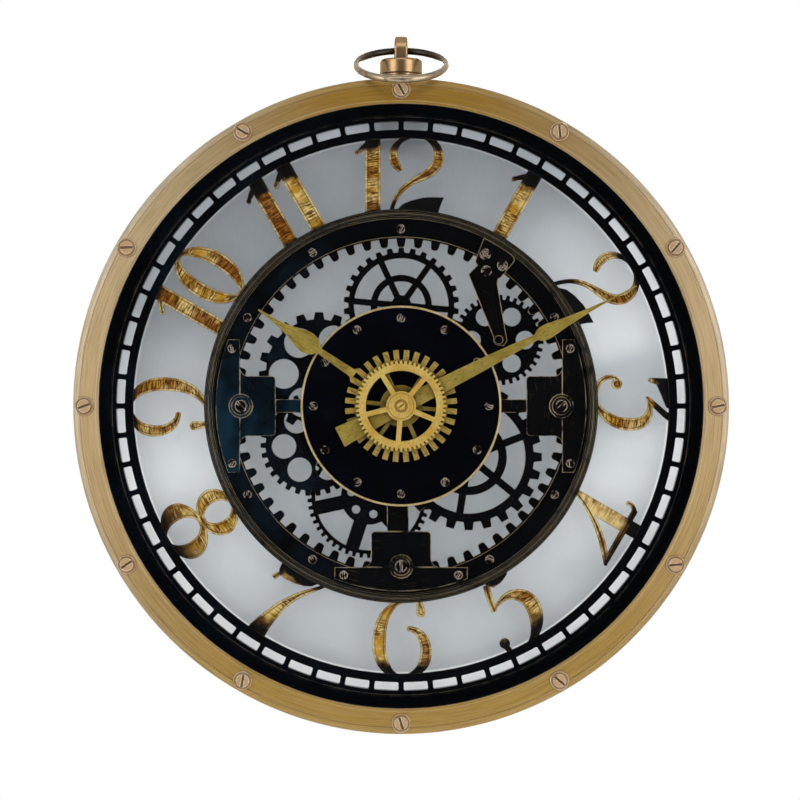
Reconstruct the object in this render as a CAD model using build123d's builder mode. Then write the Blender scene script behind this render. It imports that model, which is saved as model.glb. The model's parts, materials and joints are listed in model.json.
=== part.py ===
from build123d import *
import os
from math import cos, degrees, hypot, isclose, radians, sin

# Gear-dial wall clock in the form of a pocket watch.
# Millimetres. X is to the right, Z is up, the dial faces -Y and its axis is the Y axis.
# The wall is the plane Y = 0. Heights are measured forward from the wall.
# Angles run clockwise from twelve o'clock, as seen from the front.

# Case: bezel, drum, glass and back
bezel_radius = 165.0
bezel_width = 12.8
bezel_thickness = 6.0
bezel_lip = 3.0
bezel_chamfer = 1.2
bezel_shoulder = 3.2
bezel_groove_inset = 3.8
bezel_groove = 0.3
skirt_wall = 1.5
skirt_drop = 3.0
drum_wall = 2.5
glass_seat = 4.3
glass_thickness = 2.5
glass_gap = 0.1
spacer_wall = 1.8
ledge_width = 11.0
ledge_thickness = 8.0
panel_thickness = 1.0
panel_gap = 0.2
bezel_screw_count = 12
bezel_screw_inset = 6.0
bezel_screw_shank = 1.8
bezel_screw_bite = 8.0
bezel_screw_flange = 4.9
bezel_screw_flange_rise = 0.8
bezel_screw_head = 3.7
bezel_screw_rise = 1.3
bezel_screw_slot = 1.2
bezel_screw_slots = (120, 96, 50, 12, 5, 140, 108, 80, 35, 20, 3, 150)
boss_radius = 3.0
boss_gap = 0.5
panel_screw_count = 6
panel_screw_inset = 5.6
panel_screw_first_angle = 15.0
panel_screw_shank = 1.1
panel_screw_bite = 5.0
panel_screw_head = 2.6
panel_screw_rise = 1.0
panel_screw_slot = 0.7

# Every screw head narrows towards its top by this angle
head_taper = 18

# Keyhole tab at the top of the drum's back
hanger_width = 26.0
hanger_length = 27.5
hanger_thickness = 2.0
hanger_entry_inset = 20.5
hanger_entry_radius = 4.5
hanger_slot_radius = 2.2
hanger_slot_length = 9.0

# Crown and bow
crown_height = 19.0
crown_base_radius = 12.3
crown_base_rise = 5.9
crown_groove_radius = 10.7
crown_groove_width = 1.2
crown_cap_radius = 11.35
crown_cap_rise = 7.8
crown_round = 1.4
crown_edge = 0.5
stud_radius = 3.0
eye_rise = 4.6
eye_radius = 7.6
eye_width = 7.0
eye_hole = 2.6
eye_round = 1.2
bow_radius = 22.9
bow_wire = 1.75
bow_droop = 26.0

# Dial: minute track, numerals and toothed ring
track_thickness = 4.0
track_width = 15.4
window_inset = 4.3
window_width = 4.3
window_round = 0.7
window_bar = 2.8
minute_count = 60
ridge_gap = 2.2
ridge_width = 0.8
ridge_rise = 0.3
numeral_height = 36.1
numeral_thickness = 2.0
numeral_rim = 3.2
numeral_recess = 0.6
numeral_foot = 2.2
numeral_pitch = 30.0
inward_hours = (4, 5, 6, 7, 8)
inward_turn = 180.0
thinnest_recess = 1.2
numeral_rail_gap = 0.3
single_rail_half = 44.0
double_rail_half = 62.0
ring_lip = 4.7
ring_lip_rise = 2.0
ring_lip_bevel = 0.7
ring_lip_groove = 0.7
ring_thickness = 3.0
ring_band = 10.4
ring_tooth_height = 4.4
ring_tooth_root = 5.0
ring_tooth_tip = 3.9
ring_tooth_round = 0.9
ring_step = 0.5
ring_step_inset = 0.9
ring_screw_inset = 5.4
ring_screw_angles = (0, 60, 120, 150, 210, 240, 300, 330)
ring_screw_slots = (65, 30, 45, 160, 125, 90, 65, 30)
small_screw_shank = 1.1
small_screw_bite = 2.4
small_screw_head = 2.3
small_screw_rise = 1.1
small_screw_slot = 0.9

# Brackets that carry the centre disc from the toothed ring
bracket_thickness = 2.5
strap_gap = 1.4
strap_width = 12.3
strap_half_length = 34.0
strap_screw_along = 29.3
strap_screw_inset = 4.0
strap_screw_slots = (65, 95)
block_depth = 18.2
block_half_width = 15.3
block_fillet = 4.5
block_round = 2.0
block_step = 0.5
arm_overlap = 11.2
side_arm_width = 6.8
bottom_arm_width = 11.0
bottom_arm_shift = 1.7
boss_ring_outer = 6.0
boss_ring_inner = 4.6
boss_ring_rise = 0.8
block_screw_inset = 0.5
block_screw_shank = 1.6
block_screw_head = 3.4
block_screw_rise = 1.6
block_screw_slot = 1.0
block_screw_slots = (135, 45, 90)

# Cock at one o'clock, which carries the upper right wheel.
# Its plate, lever root and screws are placed from a point on the ring,
# and its lever tip from the wheel's stud.
cock_bearing = 31.0
cock_plate = ((-1.5, 13.6), (-6.5, 0.2), (0.9, -8.8), (6.5, -8.4), (14.5, 1.2), (9.5, 7.4))
cock_lever_root = ((-9.8, -6.1), (-4.1, -0.4), (6.3, -5.4), (5.1, -11.0))
cock_lever_tip = ((4.3, -0.6), (2.5, -3.2), (-1.3, -2.4))
cock_screws_from = ((-1.1, 4.2), (7.6, -1.6), (-0.5, -4.5))
cock_screw_head = 2.9
cock_screw_slots = (40, 55, 20)
cock_gap = 0.3
cock_round = 2.2

# Centre disc
disc_radius = 51.2
disc_rim_width = 1.1
disc_rim_rise = 0.6
disc_thickness = 1.5
disc_screw_count = 12
disc_screw_inset = 6.4
disc_screw_slots = (65, 30, 45, 160, 125, 90, 65, 30, 0, 150, 120, 95)

# Ornamental wheels: thickness, layers, bores and studs
wheel_thickness = 2.0
wheel_layer_gap = 0.5
wheel_arm_gap = 1.0
wheel_spoke_overlap = 1.0
stud_wheel_radius = 2.0
plate_lobe = 4.6
plate_inset = 4.2
plate_thickness = 2.0
plate_gap = 0.5

# Hands
hour_angle = 304.0
hour_gap = 1.5
hour_thickness = 0.8
hour_gear_teeth = 32
hour_gear_tip = 28.5
hour_gear_root = 23.5
hour_gear_rim = 17.8
hour_gear_hub = 10.6
hour_gear_spokes = 6
hour_gear_spoke_width = 2.0
hour_gear_spoke_angle = 36.0
hour_fork_start = 29.9
hour_fork_half = 2.5
hour_stem = ((0, 29.5, 4.4), (0, 38, 3.8), (0, 46, 3.3), (0, 51.4, 2.9))
hour_spade = (
    (0, 50.8, 2.9), (0, 52.9, 8.2), (0, 57.4, 11.0), (0, 64, 8.4), (0, 70, 4.6), (0, 76, 2.6), (0, 87.5, 0.8),
)
minute_angle = 63.0
minute_gap = 1.7
minute_thickness = 0.8
minute_hub = 5.2
minute_stem = ((0, 0, 8.2), (0, 24, 7.5), (0, 51, 5.9), (0, 66, 4.4), (0, 78, 3.2))
minute_spade = (
    (0, 77.2, 3.2), (0, 78.8, 6.0), (0, 81.6, 7.5), (0, 87, 6.6), (0, 101, 3.2), (0, 116, 1.2), (0, 134, 0.6),
)
minute_tail_length = 34.8
minute_tail_root = 7.0
minute_tail_end = 10.9
seconds_gap = 1.5
seconds_thickness = 1.2
seconds_gear_teeth = 60
seconds_gear_tip = 22.9
seconds_gear_root = 21.3
seconds_gear_rim = 18.0
seconds_gear_spokes = 5
seconds_gear_spoke_width = 2.5
seconds_gear_spoke_angle = 40.5
seconds_hub = 7.5
seconds_boss = 6.1
seconds_boss_rise = 0.7
seconds_cap = 2.2
seconds_cap_rise = 1.2
seconds_cap_slot = 0.8
glass_clearance = 2.6

# Quartz movement behind the disc
movement_drop = 2.0
movement_wall = 1.5
movement_opening_gap = 0.8
bay_clearance = 0.35
bay_wall = 1.2
bush_radius = 4.0
bush_proud = 0.6
bush_gap = 0.05
hub_wall = 1.25
nut_width = 12.0
nut_thickness = 1.6
running_gap = 0.05
arbor_radius = 0.75
cannon_wall = 0.8
cannon_heel = 0.8
hour_tube_wall = 0.85
pivot_radius = 0.5
pivot_reach = 1.0
battery_radius = 7.25
battery_length = 50.5
battery_clearance = 0.25
battery_nub_radius = 2.7
battery_nub = 1.2
contact_width = 9.0
contact_thickness = 1.25
train_face = 1.0
pinion_face = 1.6
seconds_step = 1.5
third_step = 2.5
intermediate_step = 1.7
centre_step = 1.8
motion_step = 2.0
hour_step = 2.0
hour_wheel_gap = 0.5
seconds_module = 0.34
seconds_teeth = 60
intermediate_pinion_teeth = 12
rotor_module = 0.25
rotor_pinion_teeth = 10
intermediate_teeth = 60
third_module = 0.36
third_teeth = 60
seconds_pinion_teeth = 8
centre_module = 0.34
centre_teeth = 64
third_pinion_teeth = 8
motion_module = 0.375
cannon_teeth = 12
motion_teeth = 36
hour_module = 0.36
motion_pinion_teeth = 10
hour_teeth = 40
knob_teeth = 12
third_bearing = -60.0
intermediate_bearing = 60.0
rotor_bearing = 75.0
motion_bearing = 0.0
rotor_magnet = 2.4
rotor_magnet_length = 2.0
stator_bore = 3.2
stator_step = 1.5
stator_thickness = 1.0
stator_gap = 0.5
stator_left = 4.5
stator_knee = (13.0, 10.0)
stator_shoulder = 18.0
stator_bottom = 4.5
stator_leg = 3.0
stator_window_left = 8.0
stator_window_knee = (14.0, 12.5)
stator_window_shoulder = 18.2
core_drop = 1.5
core_width = 2.0
coil_radius = 2.8
coil_gap = 0.4
board_side_gap = 1.5
board_top_gap = 0.5
board_size = (16.0, 12.0)
board_thickness = 1.0
chip_size = (6.0, 4.0)
chip_rise = 0.9
knob_shaft = 1.25
knob_radius = 4.5
knob_clearance = 1.4
knob_length = 3.2
knob_gap = 0.4
knob_ribs = 24
knob_rib_depth = 0.4

# Tooth proportions, as shares of the tooth pitch or of the module
wheel_root_share = 0.60
wheel_tip_share = 0.42
hour_tip_share = 0.50
train_root_share = 0.54
train_tip_share = 0.17
pinion_root_share = 0.50
pinion_tip_share = 0.15
addendum = 0.85
dedendum = 1.2

# Heights that follow, from the wall forward: movement, wheels, ring, disc, hands, glass and bezel
movement_back = knob_clearance + knob_length + knob_gap
cover_front = movement_back + movement_wall
seconds_level = cover_front + seconds_step
stator_level = seconds_level + stator_step
third_level = seconds_level + third_step
intermediate_level = third_level + intermediate_step
centre_level = intermediate_level + centre_step
cannon_back = centre_level - cannon_heel
motion_level = centre_level + motion_step
hour_level = motion_level + hour_step
wall_inside = hour_level + train_face + hour_wheel_gap
battery_height = wall_inside - battery_clearance - battery_radius
movement_front = wall_inside + movement_wall
plate_front = movement_front + plate_thickness
lower_wheel_back = plate_front + plate_gap
upper_wheel_back = lower_wheel_back + wheel_thickness + wheel_layer_gap
ring_front = upper_wheel_back + wheel_thickness + wheel_arm_gap
ring_back = ring_front - ring_thickness
lip_front = ring_front + ring_lip_rise
numeral_front = ring_front
track_back = numeral_front - numeral_thickness
track_front = track_back + track_thickness
panel_front = track_back - ledge_thickness
panel_back = panel_front - panel_thickness
bracket_front = ring_front + bracket_thickness
disc_back = bracket_front
disc_front = disc_back + disc_thickness
bush_top = disc_front + nut_thickness + bush_proud
hour_height = bush_top + hour_gap
minute_height = hour_height + hour_thickness + minute_gap
seconds_height = minute_height + minute_thickness + seconds_gap
seconds_front = seconds_height + seconds_thickness
glass_back = seconds_front + seconds_cap_rise + glass_clearance
glass_front = glass_back + glass_thickness
bezel_front = glass_front + bezel_lip
drum_front = bezel_front - bezel_thickness

# Radii that follow, from the bezel inward
bezel_opening = bezel_radius - bezel_width
bezel_groove_radius = bezel_radius - bezel_groove_inset
bezel_screw_circle = bezel_radius - bezel_screw_inset
drum_radius = bezel_radius - skirt_wall
drum_bore = drum_radius - drum_wall
ledge_bore = drum_bore - ledge_width
panel_radius = drum_bore - panel_gap
panel_screw_circle = drum_bore - panel_screw_inset
hanger_bottom = drum_radius - hanger_length
hanger_entry = drum_radius - hanger_entry_inset
hanger_slot_top = hanger_entry + hanger_slot_length
glass_radius = bezel_opening + glass_seat
spacer_radius = bezel_opening + spacer_wall
track_radius = bezel_screw_circle - boss_radius - boss_gap
track_opening = bezel_opening - track_width
window_inner = track_opening + window_inset
window_outer = window_inner + window_width
ridge_radius = window_outer + ridge_gap
unit = numeral_height / 100
numeral_top = track_opening + numeral_foot
ring_outer = track_opening - numeral_height
numeral_bottom = ring_outer - numeral_foot
lip_inner = ring_outer - ring_lip
lip_middle = ring_outer - ring_lip / 2
ring_screw_circle = lip_inner - ring_screw_inset
ring_root = lip_inner - ring_band
ring_tip = ring_root - ring_tooth_height
strap_outer = lip_inner - strap_gap
strap_inner = strap_outer - strap_width
strap_screw_out = strap_inner + strap_screw_inset
block_screw_out = strap_inner - block_screw_inset
block_inner = strap_inner - block_depth
arm_inner = disc_radius - arm_overlap
disc_screw_circle = disc_radius - disc_screw_inset
plate_radius = disc_radius - plate_inset

# Crown and bow, from the drum upward
crown_base_top = drum_radius + crown_base_rise
crown_groove_top = crown_base_top + crown_groove_width
crown_top = crown_groove_top + crown_cap_rise
eye_height = crown_top + eye_rise
bow_centre_height = eye_height - bow_radius * sin(radians(bow_droop))
bow_centre_forward = crown_height + bow_radius * cos(radians(bow_droop))

# Sizes of the movement that follow from its battery
inner_half = battery_length / 2 + contact_thickness
movement_half = inner_half + movement_wall
movement_width = 2 * movement_half
movement_low = -movement_half - movement_drop
movement_high = movement_half - movement_drop
inner_low = movement_low + movement_wall
inner_high = movement_high - movement_wall
battery_middle = inner_low + battery_radius + battery_clearance
bay_height = 2 * battery_radius + battery_clearance + bay_clearance
bay_top = inner_low + bay_height
stator_right = inner_half - stator_gap
stator_top = inner_high - stator_gap
stator_window_right = stator_right - stator_leg
core_top = stator_top - core_drop
core_bottom = core_top - core_width
coil_start = stator_window_left + coil_gap
coil_end = stator_window_right - coil_gap
cannon_bore = arbor_radius + running_gap
cannon_radius = cannon_bore + cannon_wall
hour_bore = cannon_radius + running_gap
hour_tube_radius = hour_bore + hour_tube_wall
bush_bore = hour_tube_radius + running_gap
plate_bore = bush_radius + bush_gap


def front_plane(height, angle=0.0, place=(0.0, 0.0)):
    """Plane that faces forward at a height above the wall, its Y direction turned clockwise by the angle."""
    turn = radians(angle)
    return Plane(
        origin=(place[0], -height, place[1]), x_dir=(cos(turn), 0, -sin(turn)), z_dir=(0, -1, 0)
    )


def rear_plane(height, place=(0.0, 0.0)):
    """Plane that faces the wall."""
    return Plane(origin=(place[0], -height, place[1]), x_dir=(-1, 0, 0), z_dir=(0, 1, 0))


def polar(radius, angle, centre=(0.0, 0.0)):
    """Point at a radius and clock angle from a centre."""
    return (centre[0] + radius * sin(radians(angle)), centre[1] + radius * cos(radians(angle)))


def finish(piece, name):
    """Label a finished piece and write its file."""
    piece.part.label = name
    export_step(piece.part, f"parts/{name}.step")


def turned(outline):
    """Add a solid turned about the dial axis from (radius, height) points."""
    with BuildSketch(Plane.XY) as profile:
        Polygon(*[(radius, -height) for radius, height in outline], align=None)
    revolve(profile.sketch, axis=Axis.Y)


def pillar(plane, radius, length, mode=Mode.ADD):
    """Add or cut a round pillar that stands on a plane."""
    with BuildSketch(plane) as outline:
        Circle(radius)
    extrude(outline.sketch, amount=length, mode=mode)


def tube(plane, outer, inner, length):
    """Add a round tube that stands on a plane."""
    with BuildSketch(plane) as outline:
        Circle(outer)
        Circle(inner, mode=Mode.SUBTRACT)
    extrude(outline.sketch, amount=length)


def slotted_head(seat, radius, rise, slot, angle):
    """Add a tapered round screw head with one slot, standing on its seat."""
    with BuildSketch(seat) as outline:
        Circle(radius)
    extrude(outline.sketch, amount=rise, taper=head_taper)
    with BuildSketch(seat.offset(rise / 2)) as groove:
        Rectangle(2 * radius, slot, rotation=angle)
    extrude(groove.sketch, amount=rise, mode=Mode.SUBTRACT)


def slotted_screw(seat, shank, bite, radius, rise, slot, angle):
    """Add a whole slotted screw, its shank sunk below the seat."""
    pillar(seat, shank, -bite)
    slotted_head(seat, radius, rise, slot, angle)


def toothed_points(teeth, root, tip, root_share, tip_share, phase=0.0):
    """Corners of a wheel with straight-sided teeth; the shares are of the tooth pitch."""
    pitch = 360 / teeth
    points = []
    for tooth in range(teeth):
        middle = phase - tooth * pitch
        points.append(polar(root, middle + root_share * pitch / 2))
        points.append(polar(tip, middle + tip_share * pitch / 2))
        points.append(polar(tip, middle - tip_share * pitch / 2))
        points.append(polar(root, middle - root_share * pitch / 2))
    return points


def train_wheel(plane, teeth, module, phase, face):
    """Add a wheel of the running train."""
    with BuildSketch(plane) as outline:
        pitch_radius = module * teeth / 2
        Polygon(
            *toothed_points(
                teeth,
                pitch_radius - dedendum * module,
                pitch_radius + addendum * module,
                train_root_share,
                train_tip_share,
                phase,
            ),
            align=None,
        )
    extrude(outline.sketch, amount=face)


def train_pinion(plane, teeth, module, phase, face):
    """Add a pinion of the running train, with slimmer teeth than a wheel."""
    with BuildSketch(plane) as outline:
        pitch_radius = module * teeth / 2
        Polygon(
            *toothed_points(
                teeth,
                pitch_radius - dedendum * module,
                pitch_radius + addendum * module,
                pinion_root_share,
                pinion_tip_share,
                phase,
            ),
            align=None,
        )
    extrude(outline.sketch, amount=face)


def spokes(count, first_angle, inner, outer, width):
    """Add straight spokes to the sketch being drawn."""
    middle = (inner + outer) / 2
    for spoke in range(count):
        angle = first_angle + spoke * 360 / count
        with Locations(polar(middle, angle)):
            Rectangle(width, outer - inner, rotation=-angle)


def round_holes(count, first_angle, circle, radius):
    """Cut round holes on a circle from the sketch being drawn."""
    for hole in range(count):
        with Locations(polar(circle, first_angle + hole * 360 / count)):
            Circle(radius, mode=Mode.SUBTRACT)


def brush(stroke):
    """Add the face of a stroke that swells along its path; the stroke holds (x, y, width)."""
    left = []
    right = []
    for index, (x, y, width) in enumerate(stroke):
        before = stroke[max(index - 1, 0)]
        after = stroke[min(index + 1, len(stroke) - 1)]
        run = hypot(after[0] - before[0], after[1] - before[1])
        across_x = (before[1] - after[1]) / run * width / 2
        across_y = (after[0] - before[0]) / run * width / 2
        left.append((x + across_x, y + across_y))
        right.append((x - across_x, y - across_y))
    with BuildLine() as outline:
        Spline(*left)
        Line(left[-1], right[-1])
        Spline(*right[::-1])
        Line(right[0], left[0])
    make_face(outline.edges())


os.makedirs("parts", exist_ok=True)

# Bezel: a turned ring with a lip over the glass, a skirt over the drum and twelve screw holes
with BuildPart() as bezel:
    turned(
        [
            (bezel_opening, glass_front),
            (bezel_opening, bezel_front - bezel_chamfer),
            (bezel_opening + bezel_chamfer, bezel_front),
            (bezel_radius, bezel_front),
            (bezel_radius, drum_front - skirt_drop),
            (drum_radius, drum_front - skirt_drop),
            (drum_radius, drum_front),
            (glass_radius + glass_gap, drum_front),
            (glass_radius + glass_gap, glass_front),
        ]
    )
    rims = bezel.edges().filter_by(GeomType.CIRCLE).sort_by(lambda rim: rim.radius)[-2:]
    fillet(rims.sort_by(Axis.Y)[0], bezel_shoulder)
    with BuildSketch(front_plane(bezel_front - bezel_groove)):
        Circle(bezel_groove_radius + bezel_groove)
        Circle(bezel_groove_radius, mode=Mode.SUBTRACT)
    extrude(amount=bezel_groove, mode=Mode.SUBTRACT)
    with BuildSketch(front_plane(bezel_front)):
        with PolarLocations(bezel_screw_circle, bezel_screw_count):
            Circle(bezel_screw_shank)
    extrude(amount=-bezel_thickness, mode=Mode.SUBTRACT)
finish(bezel, "bezel")

# Drum: the case wall, an inner ledge for the dial, screw bosses and the keyhole tab
with BuildPart() as case_drum:
    turned(
        [
            (drum_bore, 0),
            (drum_radius, 0),
            (drum_radius, drum_front),
            (drum_bore, drum_front),
            (drum_bore, track_back),
            (ledge_bore, track_back),
            (ledge_bore, panel_front),
            (drum_bore, panel_front),
        ]
    )
    with BuildSketch(front_plane(track_back)):
        with PolarLocations(bezel_screw_circle, bezel_screw_count):
            Circle(boss_radius)
    extrude(amount=drum_front - track_back)
    with BuildSketch(front_plane(drum_front)):
        with PolarLocations(bezel_screw_circle, bezel_screw_count):
            Circle(bezel_screw_shank)
    extrude(amount=-bezel_screw_bite, mode=Mode.SUBTRACT)
    with BuildSketch(front_plane(panel_front)):
        for screw in range(panel_screw_count):
            angle = panel_screw_first_angle + screw * 360 / panel_screw_count
            with Locations(polar(panel_screw_circle, angle)):
                Circle(panel_screw_shank)
    extrude(amount=panel_screw_bite - panel_thickness, mode=Mode.SUBTRACT)
    with BuildSketch(front_plane(0)):
        with Locations((0, (hanger_bottom + drum_radius) / 2)):
            Rectangle(hanger_width, drum_radius - hanger_bottom)
        Circle(drum_radius, mode=Mode.INTERSECT)
        with Locations((0, hanger_entry)):
            Circle(hanger_entry_radius, mode=Mode.SUBTRACT)
        with Locations((0, (hanger_entry + hanger_slot_top) / 2)):
            Rectangle(2 * hanger_slot_radius, hanger_slot_top - hanger_entry, mode=Mode.SUBTRACT)
        with Locations((0, hanger_slot_top)):
            Circle(hanger_slot_radius, mode=Mode.SUBTRACT)
    extrude(amount=hanger_thickness)
    with BuildSketch(Plane.XY.offset(drum_bore)):
        with Locations((0, -crown_height)):
            Circle(stud_radius)
    extrude(amount=2 * drum_wall, mode=Mode.SUBTRACT)
finish(case_drum, "case_drum")

# Bezel screws: a flange like a cup washer under a slotted head
with BuildPart() as bezel_screws:
    for index, slot_angle in enumerate(bezel_screw_slots):
        place = polar(bezel_screw_circle, index * 360 / bezel_screw_count)
        seat = front_plane(bezel_front, place=place)
        pillar(seat, bezel_screw_shank, -(bezel_thickness + bezel_screw_bite))
        with BuildSketch(seat):
            Circle(bezel_screw_flange)
        extrude(amount=bezel_screw_flange_rise, taper=head_taper)
        slotted_head(
            seat.offset(bezel_screw_flange_rise),
            bezel_screw_head,
            bezel_screw_rise,
            bezel_screw_slot,
            slot_angle,
        )
finish(bezel_screws, "bezel_screws")

# Glass, held between the bezel's lip and the spacer
with BuildPart() as front_glass:
    pillar(front_plane(glass_back), glass_radius, glass_thickness)
finish(front_glass, "front_glass")

with BuildPart() as spacer_ring:
    tube(front_plane(track_front), spacer_radius, bezel_opening, glass_back - track_front)
finish(spacer_ring, "spacer_ring")

# Back panel, screwed to the ledge from behind, with a square opening for the movement
with BuildPart() as back_panel:
    with BuildSketch(front_plane(panel_back)):
        Circle(panel_radius)
        with Locations((0, -movement_drop)):
            Rectangle(
                movement_width + 2 * movement_opening_gap,
                movement_width + 2 * movement_opening_gap,
                mode=Mode.SUBTRACT,
            )
        round_holes(panel_screw_count, panel_screw_first_angle, panel_screw_circle, panel_screw_shank)
    extrude(amount=panel_thickness)
finish(back_panel, "back_panel")

with BuildPart() as back_panel_screws:
    for screw in range(panel_screw_count):
        angle = panel_screw_first_angle + screw * 360 / panel_screw_count
        slotted_screw(
            rear_plane(panel_back, polar(panel_screw_circle, angle)),
            panel_screw_shank,
            panel_screw_bite,
            panel_screw_head,
            panel_screw_rise,
            panel_screw_slot,
            angle,
        )
finish(back_panel_screws, "back_panel_screws")

# Crown: two turned tiers saddled on the drum, a stud through its wall and the eye for the bow
with BuildPart() as crown:
    with BuildSketch(front_plane(crown_height)):
        Polygon(
            (0, drum_bore),
            (crown_base_radius, drum_bore),
            (crown_base_radius, crown_base_top),
            (crown_groove_radius, crown_base_top),
            (crown_groove_radius, crown_groove_top),
            (crown_cap_radius, crown_groove_top),
            (crown_cap_radius, crown_top),
            (0, crown_top),
            align=None,
        )
    revolve(axis=Axis((0, -crown_height, 0), (0, 0, 1)))
    fillet(crown.edges().filter_by(GeomType.CIRCLE).group_by(Axis.Z)[-1], crown_round)
    rims = crown.edges().filter_by(GeomType.CIRCLE)
    groove_rims = rims.filter_by_position(Axis.Z, crown_base_top, crown_groove_top)
    chamfer(groove_rims.sort_by(lambda rim: rim.radius)[-2:], crown_edge)
    pillar(front_plane(0), drum_radius, drum_front, mode=Mode.SUBTRACT)
    with BuildSketch(Plane.XY.offset(drum_bore)):
        with Locations((0, -crown_height)):
            Circle(stud_radius)
    extrude(amount=2 * drum_wall)
    with BuildSketch(Plane.YZ.offset(-eye_width / 2)):
        with Locations((-crown_height, eye_height)):
            Circle(eye_radius)
        with Locations((-crown_height, (eye_height + crown_top - crown_round) / 2)):
            Rectangle(2 * eye_radius, eye_height - crown_top + crown_round)
        with Locations((-crown_height, eye_height)):
            Circle(eye_hole, mode=Mode.SUBTRACT)
    extrude(amount=eye_width)
    rims = crown.edges().filter_by(GeomType.CIRCLE)
    fillet(rims.filter_by(lambda rim: isclose(rim.radius, eye_radius)), eye_round)
finish(crown, "crown")

# Bow: one ring of round wire through the eye, drooping forward until it nears the bezel
with BuildPart() as bow_ring:
    bow_plane = Plane(
        origin=(0, -bow_centre_forward, bow_centre_height),
        x_dir=(1, 0, 0),
        z_dir=(0, -sin(radians(bow_droop)), cos(radians(bow_droop))),
    )
    with Locations(bow_plane):
        Torus(bow_radius, bow_wire)
finish(bow_ring, "bow_ring")

# Minute track: a thick plate with sixty windows and a lip that hides the numerals' feet
with BuildPart() as minute_track:
    turned(
        [
            (track_opening, numeral_front),
            (track_opening, track_front),
            (ridge_radius, track_front),
            (ridge_radius, track_front + ridge_rise),
            (ridge_radius + ridge_width, track_front + ridge_rise),
            (ridge_radius + ridge_width, track_front),
            (track_radius, track_front),
            (track_radius, track_back),
            (numeral_top, track_back),
            (numeral_top, numeral_front),
        ]
    )
    with BuildSketch(front_plane(track_back)) as windows:
        Circle(window_outer)
        for minute in range(minute_count):
            angle = minute * 360 / minute_count
            with Locations(polar((window_inner + window_outer) / 2, angle)):
                Rectangle(window_bar, 2 * (window_outer - window_inner), rotation=-angle, mode=Mode.SUBTRACT)
        Circle(window_inner, mode=Mode.SUBTRACT)
        fillet(windows.vertices(), window_round)
    extrude(amount=track_thickness, mode=Mode.SUBTRACT)
finish(minute_track, "minute_track")

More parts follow.
